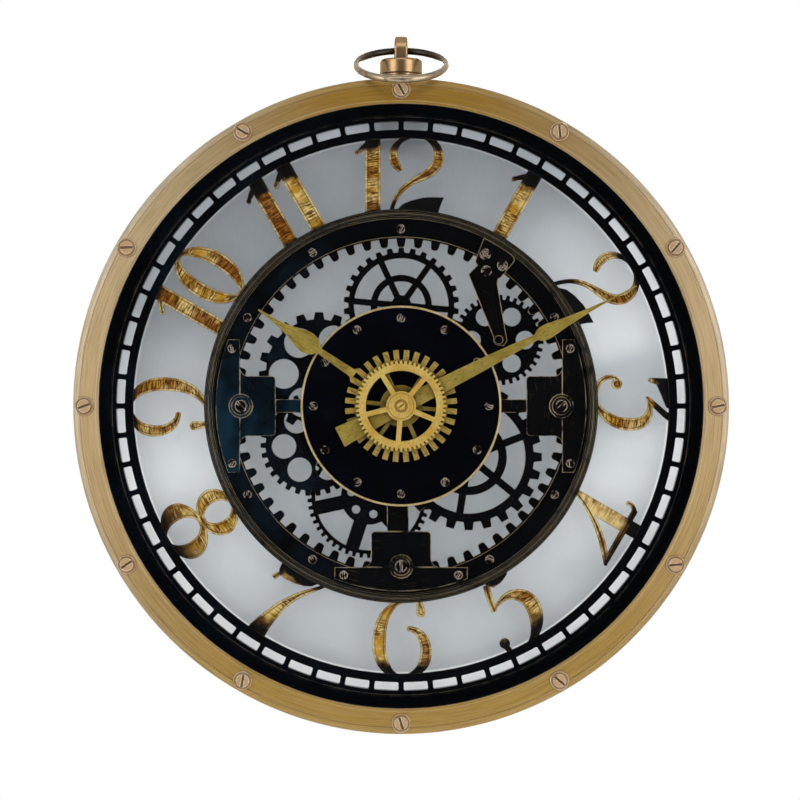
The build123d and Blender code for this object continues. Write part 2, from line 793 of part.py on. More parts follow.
# Digits: strokes as (x, y, width), flags as outlines, balls as (x, y, radius) and
# loops and their holes as (centre height, width, height).
# The unit is a hundredth of the numeral's height and x = 0 is the digit's middle.
digits = {
    "0": {"loops": [(49, 70, 106)], "holes": [(49, 30, 96)]},
    "1": {
        "strokes": [
            ((0, -10, 22), (0, 50, 22), (0, 97, 22), (0, 110, 22)),
            ((-22, 80, 5), (-16, 85.5, 7), (-8, 91, 9), (2, 96, 10)),
        ],
        "balls": [(-22, 80, 3.6)],
    },
    "2": {
        "strokes": [
            (
                (-27, 55, 7), (-35, 65, 12), (-38, 78, 12), (-33, 91, 9), (-22, 100, 6), (-8, 103, 5),
                (8, 101, 6), (20, 93, 10), (26, 80, 13), (25, 67, 15), (17, 55, 14), (3, 46, 11),
                (-12, 38, 8), (-26, 27, 7), (-35, 14, 6), (-40, 0, 6), (-42, -10, 6),
            ),
        ],
        "flags": [
            (
                (-34, -10), (-34, -2), (-25, 7), (-12, 12.5), (5, 16.5), (20, 17), (34, 16.5), (30, 8),
                (24, -10),
            ),
        ],
    },
    "3": {
        "strokes": [
            ((21, 110, 10), (10, 93, 9), (0, 82, 8), (-7, 74, 7), (-13, 69, 4)),
            (
                (-13, 70, 4), (0, 73.5, 6), (12, 72, 11), (23, 62, 16), (26, 47, 18), (24, 30, 17),
                (16, 14, 14), (4, 2, 9), (-8, -3, 6),
            ),
            ((-5, -2, 6), (-22, -2, 6), (-35, 4, 7), (-41, 15, 6), (-39, 26, 5), (-33, 31, 4)),
        ],
        "flags": [((-39, 110), (-40, 74), (-36.5, 71), (-33, 74), (-31, 83), (-15, 90), (2, 97), (10, 110))],
        "balls": [(-31, 27, 7.5)],
    },
    "4": {
        "strokes": [
            ((18, 103, 4), (8, 80, 6), (-7, 56, 8), (-24, 36, 9), (-40, 22, 8), (-51, 14.5, 4)),
            ((-46, 17.5, 8), (0, 17.5, 8.5), (38, 17.5, 8.5)),
            ((34, 17.5, 8), (40, 22, 6), (42, 30, 5)),
        ],
        "flags": [((2, -10), (23, -10), (23, 110), (18, 110), (15, 96), (8, 78), (2, 58))],
        "balls": [(42, 30, 3.8)],
    },
    "5": {
        "strokes": [
            ((-23, 98, 9), (-28, 78, 9), (-31, 60, 8)),
            (
                (-31, 62, 5), (-18, 68.5, 6), (-4, 70, 11), (10, 64, 17), (19, 50, 21), (19, 32, 21),
                (11, 14, 17), (0, 2, 11), (-12, -4, 6),
            ),
            ((-42, 14, 9), (-40, 2, 8), (-35, -10, 8)),
        ],
        "flags": [((-27, 110), (-22, 97), (-15, 90.5), (-2, 91.5), (10, 97), (20, 110))],
        "balls": [(-41, 14, 7.5)],
    },
    "6": {
        "strokes": [
            (
                (8, 103, 5), (-8, 98, 8), (-20, 86, 13), (-28, 68, 17), (-31, 48, 19), (-30, 28, 18),
                (-23, 10, 15), (-12, -1, 9), (2, -5, 6),
            ),
            ((24, 110, 7), (27, 95, 10), (28, 87, 13)),
            (
                (12, 63, 7), (21, 60, 9), (30, 51, 13), (35, 38, 15), (35, 24, 16), (30, 10, 14), (20, 1, 9),
                (8, -4, 6),
            ),
        ],
        "balls": [(28, 86, 6.5), (12, 63, 3.8)],
    },
    "7": {
        "strokes": [
            ((-29, 88, 5), (-33, 83, 7), (-35, 78, 8)),
            (
                (38, 110, 4), (22, 90, 6), (10, 76, 8), (0, 60, 11), (-7, 44, 15), (-12, 28, 19),
                (-16, 12, 24), (-18, -10, 30),
            ),
        ],
        "flags": [((-36, 110), (-34, 93), (-31, 87), (-20, 84.5), (-5, 86), (8, 89), (18, 94), (30, 110))],
    },
    "8": {"loops": [(78, 69, 56), (24, 84, 60)], "holes": [(79, 29, 41), (23, 35, 50)]},
    "9": {
        "strokes": [
            (
                (-8, -3, 5), (8, 2, 8), (20, 14, 13), (28, 32, 17), (31, 52, 19), (30, 72, 18), (23, 90, 15),
                (12, 101, 9), (-2, 105, 6),
            ),
            ((-24, -10, 7), (-27, 5, 10), (-28, 13, 13)),
            (
                (-12, 37, 7), (-21, 40, 9), (-30, 49, 13), (-35, 62, 15), (-35, 76, 16), (-30, 90, 14),
                (-20, 99, 9), (-8, 104, 6),
            ),
        ],
        "balls": [(-28, 14, 6.5), (-12, 37, 3.8)],
    },
}
digit_places = {
    1: [("1", 0)],
    2: [("2", 0)],
    3: [("3", 0)],
    4: [("4", 0)],
    5: [("5", 0)],
    6: [("6", 0)],
    7: [("7", 0)],
    8: [("8", 0)],
    9: [("9", 0)],
    10: [("1", -32), ("0", 25)],
    11: [("1", -20), ("1", 25)],
    12: [("1", -40), ("2", 27)],
}


def draw_digit(digit, shift, base, inset):
    """Draw one digit in the sketch being drawn, drawn in by the inset all round."""
    def place(x, y):
        return ((x + shift) * unit, base + y * unit)

    for stroke in digit.get("strokes", []):
        brush([(*place(x, y), max(width - 2 * inset, thinnest_recess) * unit) for x, y, width in stroke])
    for middle, width, height in digit.get("loops", []):
        with Locations(place(0, middle)):
            Ellipse((width / 2 - inset) * unit, (height / 2 - inset) * unit)
    for middle, width, height in digit.get("holes", []):
        with Locations(place(0, middle)):
            Ellipse((width / 2 + inset) * unit, (height / 2 + inset) * unit, mode=Mode.SUBTRACT)
    for x, y, radius in digit.get("balls", []):
        with Locations(place(x, y)):
            Circle(max(radius - inset, thinnest_recess) * unit)
    if inset == 0:
        for flag in digit.get("flags", []):
            Polygon(*[place(x, y) for x, y in flag], align=None)


def draw_rails(half_width, base):
    """Draw the two arcs that hide in the rabbets and hold a numeral's strokes together."""
    Circle(numeral_top)
    Circle(track_opening + numeral_rail_gap, mode=Mode.SUBTRACT)
    Circle(ring_outer - numeral_rail_gap)
    Circle(numeral_bottom, mode=Mode.SUBTRACT)
    if base < 0:
        side = -1
    else:
        side = 1
    with Locations((0, side * numeral_top / 2)):
        Rectangle(2 * half_width, numeral_top, mode=Mode.INTERSECT)


# Numerals: flat plates with a sunk face, trimmed to the gap and its two rabbets
for hour, places in digit_places.items():
    if hour in inward_hours:
        turn = hour * numeral_pitch + inward_turn
        base = -track_opening
    else:
        turn = hour * numeral_pitch
        base = ring_outer
    if len(places) == 1:
        rail_half = single_rail_half
    else:
        rail_half = double_rail_half
    with BuildPart() as numeral:
        for digit, shift in places:
            with BuildSketch(front_plane(track_back, turn)):
                draw_rails(rail_half * unit, base)
                draw_digit(digits[digit], shift, base, 0)
                Circle(numeral_top, mode=Mode.INTERSECT)
                Circle(numeral_bottom, mode=Mode.SUBTRACT)
            extrude(amount=numeral_thickness)
            with BuildSketch(front_plane(numeral_front - numeral_recess, turn)):
                draw_digit(digits[digit], shift, base, numeral_rim)
                Circle(numeral_top, mode=Mode.INTERSECT)
                Circle(numeral_bottom, mode=Mode.SUBTRACT)
            extrude(amount=numeral_recess, mode=Mode.SUBTRACT)
    finish(numeral, f"numeral_{hour}")

# Toothed ring: sixty teeth point inward a step below the band, and a raised lip of two beads
# hides the numerals' feet
bracket_angles = {"left": 270, "right": 90, "bottom": 180}
strap_screw_places = {
    name: [
        (
            strap_screw_out * sin(radians(angle)) + side * strap_screw_along * cos(radians(angle)),
            strap_screw_out * cos(radians(angle)) - side * strap_screw_along * sin(radians(angle)),
        )
        for side in (-1, 1)
    ]
    for name, angle in bracket_angles.items()
}
cock_origin = polar(ring_root, cock_bearing)
cock_screw_places = [(cock_origin[0] + x, cock_origin[1] + y) for x, y in cock_screws_from]
with BuildPart() as inner_gear_ring:
    tooth_points = []
    for tooth in range(minute_count):
        middle = -tooth * 360 / minute_count
        for radius, across in (
            (ring_root, ring_tooth_root / 2),
            (ring_tip + ring_tooth_round, ring_tooth_tip / 2),
            (ring_tip, ring_tooth_tip / 2 - ring_tooth_round),
            (ring_tip, ring_tooth_round - ring_tooth_tip / 2),
            (ring_tip + ring_tooth_round, -ring_tooth_tip / 2),
            (ring_root, -ring_tooth_root / 2),
        ):
            tooth_points.append(polar(radius, middle + degrees(across / radius)))
    with BuildSketch(front_plane(ring_back)):
        Circle(numeral_bottom)
        Polygon(*tooth_points, align=None, mode=Mode.SUBTRACT)
        for angle in ring_screw_angles:
            with Locations(polar(ring_screw_circle, angle)):
                Circle(small_screw_shank, mode=Mode.SUBTRACT)
        for places in strap_screw_places.values():
            with Locations(*places):
                Circle(small_screw_shank, mode=Mode.SUBTRACT)
        with Locations(*cock_screw_places):
            Circle(small_screw_shank, mode=Mode.SUBTRACT)
        for angle in bracket_angles.values():
            with Locations(polar(block_screw_out, angle)):
                Circle(block_screw_shank, mode=Mode.SUBTRACT)
    extrude(amount=ring_thickness)
    turned(
        [
            (lip_inner, ring_front),
            (lip_inner, lip_front - ring_lip_bevel),
            (lip_inner + ring_lip_bevel, lip_front),
            (lip_middle - ring_lip_groove, lip_front),
            (lip_middle, lip_front - ring_lip_groove),
            (lip_middle + ring_lip_groove, lip_front),
            (ring_outer - ring_lip_bevel, lip_front),
            (ring_outer, lip_front - ring_lip_bevel),
            (ring_outer, ring_front),
        ]
    )
    pillar(front_plane(ring_front), ring_root + ring_step_inset, -ring_step, mode=Mode.SUBTRACT)
finish(inner_gear_ring, "inner_gear_ring")

# Brackets: a strap on the ring, a lower block towards the centre and an arm under the disc
for name, angle in bracket_angles.items():
    if name == "bottom":
        arm_width = bottom_arm_width
        arm_shift = bottom_arm_shift
    else:
        arm_width = side_arm_width
        arm_shift = 0
    seat = front_plane(ring_front, angle)
    with BuildPart() as bracket:
        with BuildSketch(seat) as outline:
            Circle(strap_outer)
            with Locations((0, (strap_inner + strap_outer) / 2)):
                Rectangle(2 * strap_half_length, strap_outer - strap_inner, mode=Mode.INTERSECT)
            with Locations((0, (block_inner + strap_inner) / 2)):
                Rectangle(2 * block_half_width, strap_inner - block_inner)
            inside = outline.vertices().group_by(Axis.Y)[1].sort_by(Axis.X)
            fillet(inside[1:-1], block_fillet)
            fillet(outline.vertices().group_by(Axis.Y)[0], block_round)
            with Locations((arm_shift, (arm_inner + block_inner) / 2)):
                Rectangle(arm_width, block_inner - arm_inner + 2 * block_round)
            for side in (-1, 1):
                with Locations((side * strap_screw_along, strap_screw_out)):
                    Circle(small_screw_shank, mode=Mode.SUBTRACT)
            with Locations((0, block_screw_out)):
                Circle(block_screw_shank, mode=Mode.SUBTRACT)
            with Locations((0, disc_screw_circle)):
                Circle(small_screw_shank, mode=Mode.SUBTRACT)
        extrude(amount=bracket_thickness)
        tube(
            front_plane(bracket_front, place=polar(block_screw_out, angle)),
            boss_ring_outer,
            boss_ring_inner,
            boss_ring_rise,
        )
        with BuildSketch(front_plane(bracket_front, angle)):
            with Locations((0, (block_inner + strap_inner) / 2)):
                Rectangle(2 * (block_half_width + block_fillet), strap_inner - block_inner)
            with Locations((0, block_screw_out)):
                Circle(boss_ring_outer, mode=Mode.SUBTRACT)
        extrude(amount=-block_step, mode=Mode.SUBTRACT)
    finish(bracket, f"bracket_{name}")

with BuildPart() as bracket_screws:
    for angle, slot_angle in zip(bracket_angles.values(), block_screw_slots):
        slotted_screw(
            front_plane(bracket_front, place=polar(block_screw_out, angle)),
            block_screw_shank,
            bracket_thickness + ring_thickness,
            block_screw_head,
            block_screw_rise,
            block_screw_slot,
            slot_angle,
        )
finish(bracket_screws, "bracket_screws")

# Small screws of the ring and of the straps' ends, all of one kind
with BuildPart() as ring_screws:
    for angle, slot_angle in zip(ring_screw_angles, ring_screw_slots):
        slotted_screw(
            front_plane(ring_front, place=polar(ring_screw_circle, angle)),
            small_screw_shank,
            small_screw_bite,
            small_screw_head,
            small_screw_rise,
            small_screw_slot,
            slot_angle,
        )
    for places in strap_screw_places.values():
        for place, slot_angle in zip(places, strap_screw_slots):
            slotted_screw(
                front_plane(bracket_front, place=place),
                small_screw_shank,
                bracket_thickness + small_screw_bite,
                small_screw_head,
                small_screw_rise,
                small_screw_slot,
                slot_angle,
            )
finish(ring_screws, "ring_screws")

# Ornamental wheels. Each spans from its reach, the distance of its nearest tooth from the dial axis,
# to the ring's teeth less a gap; a negative gap puts it behind those teeth.
# The radii bound its windows from its rim inward.
# The holes are their count, first angle, the web between them and the margin outside them.
wheels = {
    "wheel_top": {
        "bearing": 0.11, "gap": 0.1, "reach": 21.9, "teeth": 30, "tooth": 2.4, "phase": 0,
        "rim": 3.1, "radii": (15.7, 12.3, 5.2), "spokes": (6, 35, 3.3),
    },
    "wheel_upper_right": {
        "bearing": 55.89, "gap": -2.37, "reach": 36.97, "teeth": 36, "tooth": 2.4, "phase": 3,
        "holes": (6, 30, 4.3, 2.5),
    },
    "wheel_lower_right": {
        "bearing": 127.03, "gap": 0.26, "reach": 5.74, "teeth": 24, "tooth": 4.1, "phase": 0,
        "rim": 4.5, "radii": (19.6, 15.2, 6.0), "spokes": (6, 9, 3.9),
    },
    "wheel_bottom": {
        "bearing": 199.61, "gap": 0.23, "reach": 17.97, "teeth": 50, "tooth": 2.1, "phase": 0,
        "rim": 2.0, "radii": (14.3,), "spokes": (6, 18, 7.2), "holes": (6, 45, 5.0, 3.0),
    },
    "wheel_lower_left": {
        "bearing": 246.63, "gap": 5.13, "reach": 23.27, "teeth": 30, "tooth": 2.6, "phase": 5,
        "holes": (6, 26, 2.0, 3.2),
    },
    "wheel_upper_left": {
        "bearing": 292.61, "gap": 4.66, "reach": 15.54, "teeth": 19, "tooth": 3.6, "phase": 0.8,
        "holes": (6, 26, 2.5, 1.6),
    },
}
upper_wheels = ("wheel_top", "wheel_lower_right", "wheel_lower_left")
cock_wheel = "wheel_upper_right"
wheel_distances = {name: (ring_tip - wheel["gap"] + wheel["reach"]) / 2 for name, wheel in wheels.items()}
wheel_places = {name: polar(wheel_distances[name], wheel["bearing"]) for name, wheel in wheels.items()}
for name, wheel in wheels.items():
    if name in upper_wheels:
        wheel_back = upper_wheel_back
    else:
        wheel_back = lower_wheel_back
    wheel_tip = wheel_distances[name] - wheel["reach"]
    wheel_root = wheel_tip - wheel["tooth"]
    with BuildPart() as ornament:
        with BuildSketch(front_plane(wheel_back, place=wheel_places[name])):
            Polygon(
                *toothed_points(
                    wheel["teeth"], wheel_root, wheel_tip, wheel_root_share, wheel_tip_share, wheel["phase"]
                ),
                align=None,
            )
            solid_radius = wheel_root
            if "radii" in wheel:
                window_edges = (wheel_root - wheel["rim"], *wheel["radii"])
                for outer, inner in zip(window_edges[::2], window_edges[1::2]):
                    Circle(outer, mode=Mode.SUBTRACT)
                    Circle(inner)
                count, first_angle, width = wheel["spokes"]
                spokes(count, first_angle, wheel_spoke_overlap, window_edges[0] + wheel_spoke_overlap, width)
                solid_radius = wheel["radii"][-1]
            if "holes" in wheel:
                count, first_angle, web, margin = wheel["holes"]
                half_spacing = sin(radians(180 / count))
                hole_circle = (solid_radius - margin + web / 2) / (1 + half_spacing)
                round_holes(count, first_angle, hole_circle, hole_circle * half_spacing - web / 2)
        extrude(amount=wheel_thickness)
        if name == cock_wheel:
            stud_back = wheel_back + wheel_thickness
            stud_length = bracket_front - stud_back
        else:
            stud_back = movement_front
            stud_length = wheel_back - movement_front
        pillar(front_plane(stud_back, place=wheel_places[name]), stud_wheel_radius, stud_length)
    finish(ornament, name)

# Cock: a plate on the ring with a lever that reaches the upper right wheel's stud
cock_place = wheel_places[cock_wheel]
with BuildPart() as wheel_cock:
    with BuildSketch(front_plane(ring_front)) as outline:
        plate_points = [(cock_origin[0] + x, cock_origin[1] + y) for x, y in cock_plate]
        root_points = [(cock_origin[0] + x, cock_origin[1] + y) for x, y in cock_lever_root]
        tip_points = [(cock_place[0] + x, cock_place[1] + y) for x, y in cock_lever_tip]
        Polygon(*plate_points[::-1], align=None)
        fillet(outline.vertices(), cock_round)
        Polygon(*(root_points + tip_points)[::-1], align=None)
        Circle(lip_inner - cock_gap, mode=Mode.INTERSECT)
        with Locations(cock_place):
            Circle(stud_wheel_radius + boss_ring_rise)
            Circle(stud_wheel_radius, mode=Mode.SUBTRACT)
        with Locations(*cock_screw_places):
            Circle(small_screw_shank, mode=Mode.SUBTRACT)
    extrude(amount=bracket_thickness)
finish(wheel_cock, "wheel_cock")

with BuildPart() as cock_screws:
    for place, slot_angle in zip(cock_screw_places, cock_screw_slots):
        seat = front_plane(bracket_front, place=place)
        slotted_screw(
            seat, small_screw_shank, bracket_thickness + small_screw_bite, cock_screw_head, small_screw_rise,
            small_screw_slot, slot_angle,
        )
        with BuildSketch(seat.offset(small_screw_rise / 2)):
            Rectangle(small_screw_slot, 2 * cock_screw_head, rotation=slot_angle)
        extrude(amount=small_screw_rise, mode=Mode.SUBTRACT)
finish(cock_screws, "cock_screws")

# Centre disc, its raised rim and its twelve screws
with BuildPart() as centre_disc:
    with BuildSketch(front_plane(disc_back)):
        Circle(disc_radius - disc_rim_width)
        Circle(plate_bore, mode=Mode.SUBTRACT)
        round_holes(disc_screw_count, 0, disc_screw_circle, small_screw_shank)
    extrude(amount=disc_thickness)
finish(centre_disc, "centre_disc")

with BuildPart() as disc_rim:
    tube(front_plane(disc_back), disc_radius, disc_radius - disc_rim_width, disc_thickness + disc_rim_rise)
    chamfer(disc_rim.edges().filter_by(GeomType.CIRCLE).group_by(Axis.Y)[0], disc_rim_rise / 2)
finish(disc_rim, "disc_rim")

with BuildPart() as disc_screws:
    for index, slot_angle in enumerate(disc_screw_slots):
        slotted_screw(
            front_plane(disc_front, place=polar(disc_screw_circle, index * 360 / disc_screw_count)),
            small_screw_shank,
            disc_thickness,
            small_screw_head,
            small_screw_rise,
            small_screw_slot,
            slot_angle,
        )
finish(disc_screws, "disc_screws")

# Plate behind the wheels: it takes their studs, and its hub sets the disc's distance from the movement
with BuildPart() as movement_plate:
    with BuildSketch(front_plane(movement_front)):
        Circle(plate_radius)
        for name, wheel in wheels.items():
            if name != cock_wheel:
                spokes(1, wheel["bearing"], 0, wheel_distances[name], 2 * plate_lobe)
                with Locations(wheel_places[name]):
                    Circle(plate_lobe)
        for name in wheels:
            if name != cock_wheel:
                with Locations(wheel_places[name]):
                    Circle(stud_wheel_radius, mode=Mode.SUBTRACT)
        Circle(plate_bore, mode=Mode.SUBTRACT)
    extrude(amount=plate_thickness)
    tube(front_plane(plate_front), plate_bore + hub_wall, plate_bore, disc_back - plate_front)
finish(movement_plate, "movement_plate")

# Places of the movement's arbors
third_place = polar(third_module * (third_teeth + seconds_pinion_teeth) / 2, third_bearing)
intermediate_place = polar(
    seconds_module * (seconds_teeth + intermediate_pinion_teeth) / 2, intermediate_bearing
)
rotor_place = polar(
    rotor_module * (intermediate_teeth + rotor_pinion_teeth) / 2, rotor_bearing, intermediate_place
)
motion_place = polar(motion_module * (cannon_teeth + motion_teeth) / 2, motion_bearing)
knob_place = polar(motion_module * (motion_teeth + knob_teeth) / 2, motion_bearing, motion_place)
pivot_places = (third_place, intermediate_place, rotor_place)


def gap_phase(teeth, bearing):
    """Phase that turns a gap between teeth towards a bearing."""
    return bearing + 180 / teeth


# Movement case: a front shell with the threaded bush, pivot holes and the post of the motion wheel
with BuildPart() as movement_case:
    with BuildSketch(front_plane(cover_front)):
        with Locations((0, -movement_drop)):
            Rectangle(movement_width, movement_width)
    extrude(amount=movement_front - cover_front)
    with BuildSketch(front_plane(cover_front)):
        with Locations((0, (bay_top + bay_wall + inner_high) / 2)):
            Rectangle(2 * inner_half, inner_high - bay_top - bay_wall)
        with Locations((0, (inner_low + bay_top) / 2)):
            Rectangle(2 * inner_half, bay_height)
    extrude(amount=wall_inside - cover_front, mode=Mode.SUBTRACT)
    pillar(front_plane(movement_front), bush_radius, bush_top - movement_front)
    pillar(front_plane(wall_inside), bush_bore, bush_top - wall_inside, mode=Mode.SUBTRACT)
    for place in pivot_places:
        pivot_seat = front_plane(wall_inside, place=place)
        pillar(pivot_seat, pivot_radius + running_gap, pivot_reach, mode=Mode.SUBTRACT)
    pillar(front_plane(motion_level, place=motion_place), pivot_radius, wall_inside - motion_level)
finish(movement_case, "movement_case")

with BuildPart() as movement_cover:
    with BuildSketch(front_plane(movement_back)):
        with Locations((0, (bay_top + movement_high) / 2)):
            Rectangle(movement_width, movement_high - bay_top)
        with Locations(knob_place):
            Circle(knob_shaft + running_gap, mode=Mode.SUBTRACT)
    extrude(amount=movement_wall)
    for place in pivot_places:
        pillar(rear_plane(cover_front, place), pivot_radius + running_gap, pivot_reach, mode=Mode.SUBTRACT)
    pillar(rear_plane(cover_front), arbor_radius + running_gap, pivot_reach, mode=Mode.SUBTRACT)
finish(movement_cover, "movement_cover")

with BuildPart() as fixing_nut:
    with BuildSketch(front_plane(disc_front)):
        RegularPolygon(nut_width / 2, 6, major_radius=False)
        Circle(bush_radius, mode=Mode.SUBTRACT)
    extrude(amount=nut_thickness)
finish(fixing_nut, "fixing_nut")

# Step motor: stator with the coil's core, coil and rotor
with BuildPart() as stator:
    with BuildSketch(front_plane(stator_level)):
        Polygon(
            (stator_left, stator_top),
            (stator_left, stator_shoulder),
            stator_knee,
            (stator_knee[0], stator_bottom),
            (stator_right, stator_bottom),
            (stator_right, stator_top),
            align=None,
        )
        Polygon(
            (stator_window_left, core_bottom),
            (stator_window_left, stator_window_shoulder),
            stator_window_knee,
            (stator_window_right, stator_window_knee[1]),
            (stator_window_right, core_bottom),
            align=None,
            mode=Mode.SUBTRACT,
        )
        with Locations(((coil_start + coil_end) / 2, (core_top + stator_top) / 2)):
            Rectangle(coil_end - coil_start, stator_top - core_top, mode=Mode.SUBTRACT)
        with Locations(rotor_place):
            Circle(stator_bore, mode=Mode.SUBTRACT)
    extrude(amount=stator_thickness)
finish(stator, "stator")

core_middle = (core_top + core_bottom) / 2
coil_height = stator_level + stator_thickness / 2
with BuildPart() as drive_coil:
    with BuildSketch(Plane.YZ.offset(coil_start)):
        with Locations((-coil_height, core_middle)):
            Circle(coil_radius)
            Rectangle(stator_thickness, core_top - core_bottom, mode=Mode.SUBTRACT)
    extrude(amount=coil_end - coil_start)
finish(drive_coil, "drive_coil")

arbor_back = cover_front - pivot_reach + running_gap
arbor_front = wall_inside + pivot_reach - running_gap
pinion_overlap = (pinion_face - train_face) / 2
with BuildPart() as rotor:
    pillar(front_plane(arbor_back, place=rotor_place), pivot_radius, arbor_front - arbor_back)
    magnet_back = coil_height - rotor_magnet_length / 2
    pillar(front_plane(magnet_back, place=rotor_place), rotor_magnet, rotor_magnet_length)
    train_pinion(
        front_plane(intermediate_level - pinion_overlap, place=rotor_place),
        rotor_pinion_teeth,
        rotor_module,
        gap_phase(rotor_pinion_teeth, rotor_bearing + 180),
        pinion_face,
    )
finish(rotor, "rotor")

# Going train: each wheel sits on an arbor with its pinion
with BuildPart() as intermediate_wheel:
    pillar(front_plane(arbor_back, place=intermediate_place), pivot_radius, arbor_front - arbor_back)
    train_wheel(
        front_plane(intermediate_level, place=intermediate_place),
        intermediate_teeth,
        rotor_module,
        rotor_bearing,
        train_face,
    )
    train_pinion(
        front_plane(seconds_level - pinion_overlap, place=intermediate_place),
        intermediate_pinion_teeth,
        seconds_module,
        gap_phase(intermediate_pinion_teeth, intermediate_bearing + 180),
        pinion_face,
    )
finish(intermediate_wheel, "intermediate_wheel")

with BuildPart() as seconds_wheel:
    pillar(front_plane(arbor_back), arbor_radius, seconds_height + seconds_thickness - arbor_back)
    train_wheel(front_plane(seconds_level), seconds_teeth, seconds_module, intermediate_bearing, train_face)
    train_pinion(
        front_plane(third_level - pinion_overlap),
        seconds_pinion_teeth,
        third_module,
        third_bearing,
        pinion_face,
    )
finish(seconds_wheel, "seconds_wheel")

with BuildPart() as third_wheel:
    pillar(front_plane(arbor_back, place=third_place), pivot_radius, arbor_front - arbor_back)
    train_wheel(
        front_plane(third_level, place=third_place),
        third_teeth,
        third_module,
        gap_phase(third_teeth, third_bearing + 180),
        train_face,
    )
    train_pinion(
        front_plane(centre_level - pinion_overlap, place=third_place),
        third_pinion_teeth,
        centre_module,
        gap_phase(third_pinion_teeth, third_bearing + 180),
        pinion_face,
    )
finish(third_wheel, "third_wheel")

with BuildPart() as centre_wheel:
    train_wheel(front_plane(centre_level), centre_teeth, centre_module, third_bearing, train_face)
    pillar(front_plane(centre_level), cannon_radius + running_gap, train_face, mode=Mode.SUBTRACT)
finish(centre_wheel, "centre_wheel")

# Motion work: cannon, motion wheel, hour wheel and the setting knob at the back
cannon_length = minute_height + minute_thickness - cannon_back
with BuildPart() as minute_cannon:
    pillar(front_plane(cannon_back), cannon_radius, cannon_length)
    train_pinion(
        front_plane(motion_level - pinion_overlap), cannon_teeth, motion_module, motion_bearing, pinion_face
    )
    pillar(front_plane(cannon_back), cannon_bore, cannon_length, mode=Mode.SUBTRACT)
finish(minute_cannon, "minute_cannon")

motion_phase = gap_phase(motion_teeth, motion_bearing + 180)
with BuildPart() as motion_wheel:
    train_wheel(
        front_plane(motion_level, place=motion_place), motion_teeth, motion_module, motion_phase, train_face
    )
    train_pinion(
        front_plane(motion_level, place=motion_place),
        motion_pinion_teeth,
        hour_module,
        gap_phase(motion_pinion_teeth, motion_bearing + 180),
        hour_level + train_face - motion_level,
    )
    pillar(
        front_plane(motion_level, place=motion_place),
        pivot_radius + running_gap,
        hour_level + train_face - motion_level,
        mode=Mode.SUBTRACT,
    )
finish(motion_wheel, "motion_wheel")

with BuildPart() as hour_wheel:
    train_wheel(front_plane(hour_level), hour_teeth, hour_module, motion_bearing, train_face)
    pillar(front_plane(hour_level), hour_tube_radius, hour_height + hour_thickness - hour_level)
    pillar(front_plane(hour_level), hour_bore, hour_height + hour_thickness - hour_level, mode=Mode.SUBTRACT)
finish(hour_wheel, "hour_wheel")

with BuildPart() as setting_knob:
    with BuildSketch(front_plane(knob_clearance, place=knob_place)):
        Circle(knob_radius)
        for rib in range(knob_ribs):
            with Locations(polar(knob_radius, rib * 360 / knob_ribs)):
                Circle(knob_rib_depth, mode=Mode.SUBTRACT)
    extrude(amount=knob_length)
    knob_top = motion_level - pinion_overlap + pinion_face
    pillar(front_plane(knob_clearance, place=knob_place), knob_shaft, knob_top - knob_clearance)
    train_pinion(
        front_plane(motion_level - pinion_overlap, place=knob_place),
        knob_teeth,
        motion_module,
        motion_bearing + 180,
        pinion_face,
    )
finish(setting_knob, "setting_knob")

# Power: circuit board on the cover, battery in its bay and a contact at each end
board_middle = (
    board_side_gap - inner_half + board_size[0] / 2,
    inner_high - board_top_gap - board_size[1] / 2,
)
with BuildPart() as circuit_board:
    with BuildSketch(front_plane(cover_front)):
        with Locations(board_middle):
            Rectangle(*board_size)
    extrude(amount=board_thickness)
    with BuildSketch(front_plane(cover_front + board_thickness)):
        with Locations(board_middle):
            Rectangle(*chip_size)
    extrude(amount=chip_rise)
finish(circuit_board, "circuit_board")

with BuildPart() as battery:
    with BuildSketch(Plane.YZ.offset(-battery_length / 2)):
        with Locations((-battery_height, battery_middle)):
            Circle(battery_radius)
    extrude(amount=battery_length - battery_nub)
    with BuildSketch(Plane.YZ.offset(battery_length / 2 - battery_nub)):
        with Locations((-battery_height, battery_middle)):
            Circle(battery_nub_radius)
    extrude(amount=battery_nub)
finish(battery, "battery")

with BuildPart() as battery_contacts:
    for plane in (Plane.YZ.offset(battery_length / 2), Plane.YZ.offset(-inner_half)):
        with BuildSketch(plane):
            with Locations((-battery_height, battery_middle)):
                Rectangle(contact_width, contact_width)
        extrude(amount=contact_thickness)
finish(battery_contacts, "battery_contacts")

# Hour hand: a coarse gear that carries the pointer on two of its teeth
half_pitch = 180 / hour_gear_teeth
with BuildPart() as hour_hand:
    with BuildSketch(front_plane(hour_height, hour_angle)):
        Polygon(
            *toothed_points(
                hour_gear_teeth, hour_gear_root, hour_gear_tip, wheel_root_share, hour_tip_share, half_pitch
            ),
            align=None,
        )
        Circle(hour_gear_rim, mode=Mode.SUBTRACT)
        Circle(hour_gear_hub)
        first_spoke = hour_gear_spoke_angle - hour_angle
        spokes(hour_gear_spokes, first_spoke, hour_gear_hub / 2, hour_gear_root, hour_gear_spoke_width)
        tooth_edge = polar(hour_gear_tip, half_pitch * (1 + hour_tip_share))
        tooth_side = polar(hour_gear_tip, half_pitch * (1 - hour_tip_share))
        Polygon(
            tooth_side, tooth_edge, (hour_fork_half, hour_fork_start), (-hour_fork_half, hour_fork_start),
            (-tooth_edge[0], tooth_edge[1]), (-tooth_side[0], tooth_side[1]), align=None,
        )
        brush(hour_stem)
        brush(hour_spade)
        Circle(hour_tube_radius, mode=Mode.SUBTRACT)
    extrude(amount=hour_thickness)
finish(hour_hand, "hour_hand")

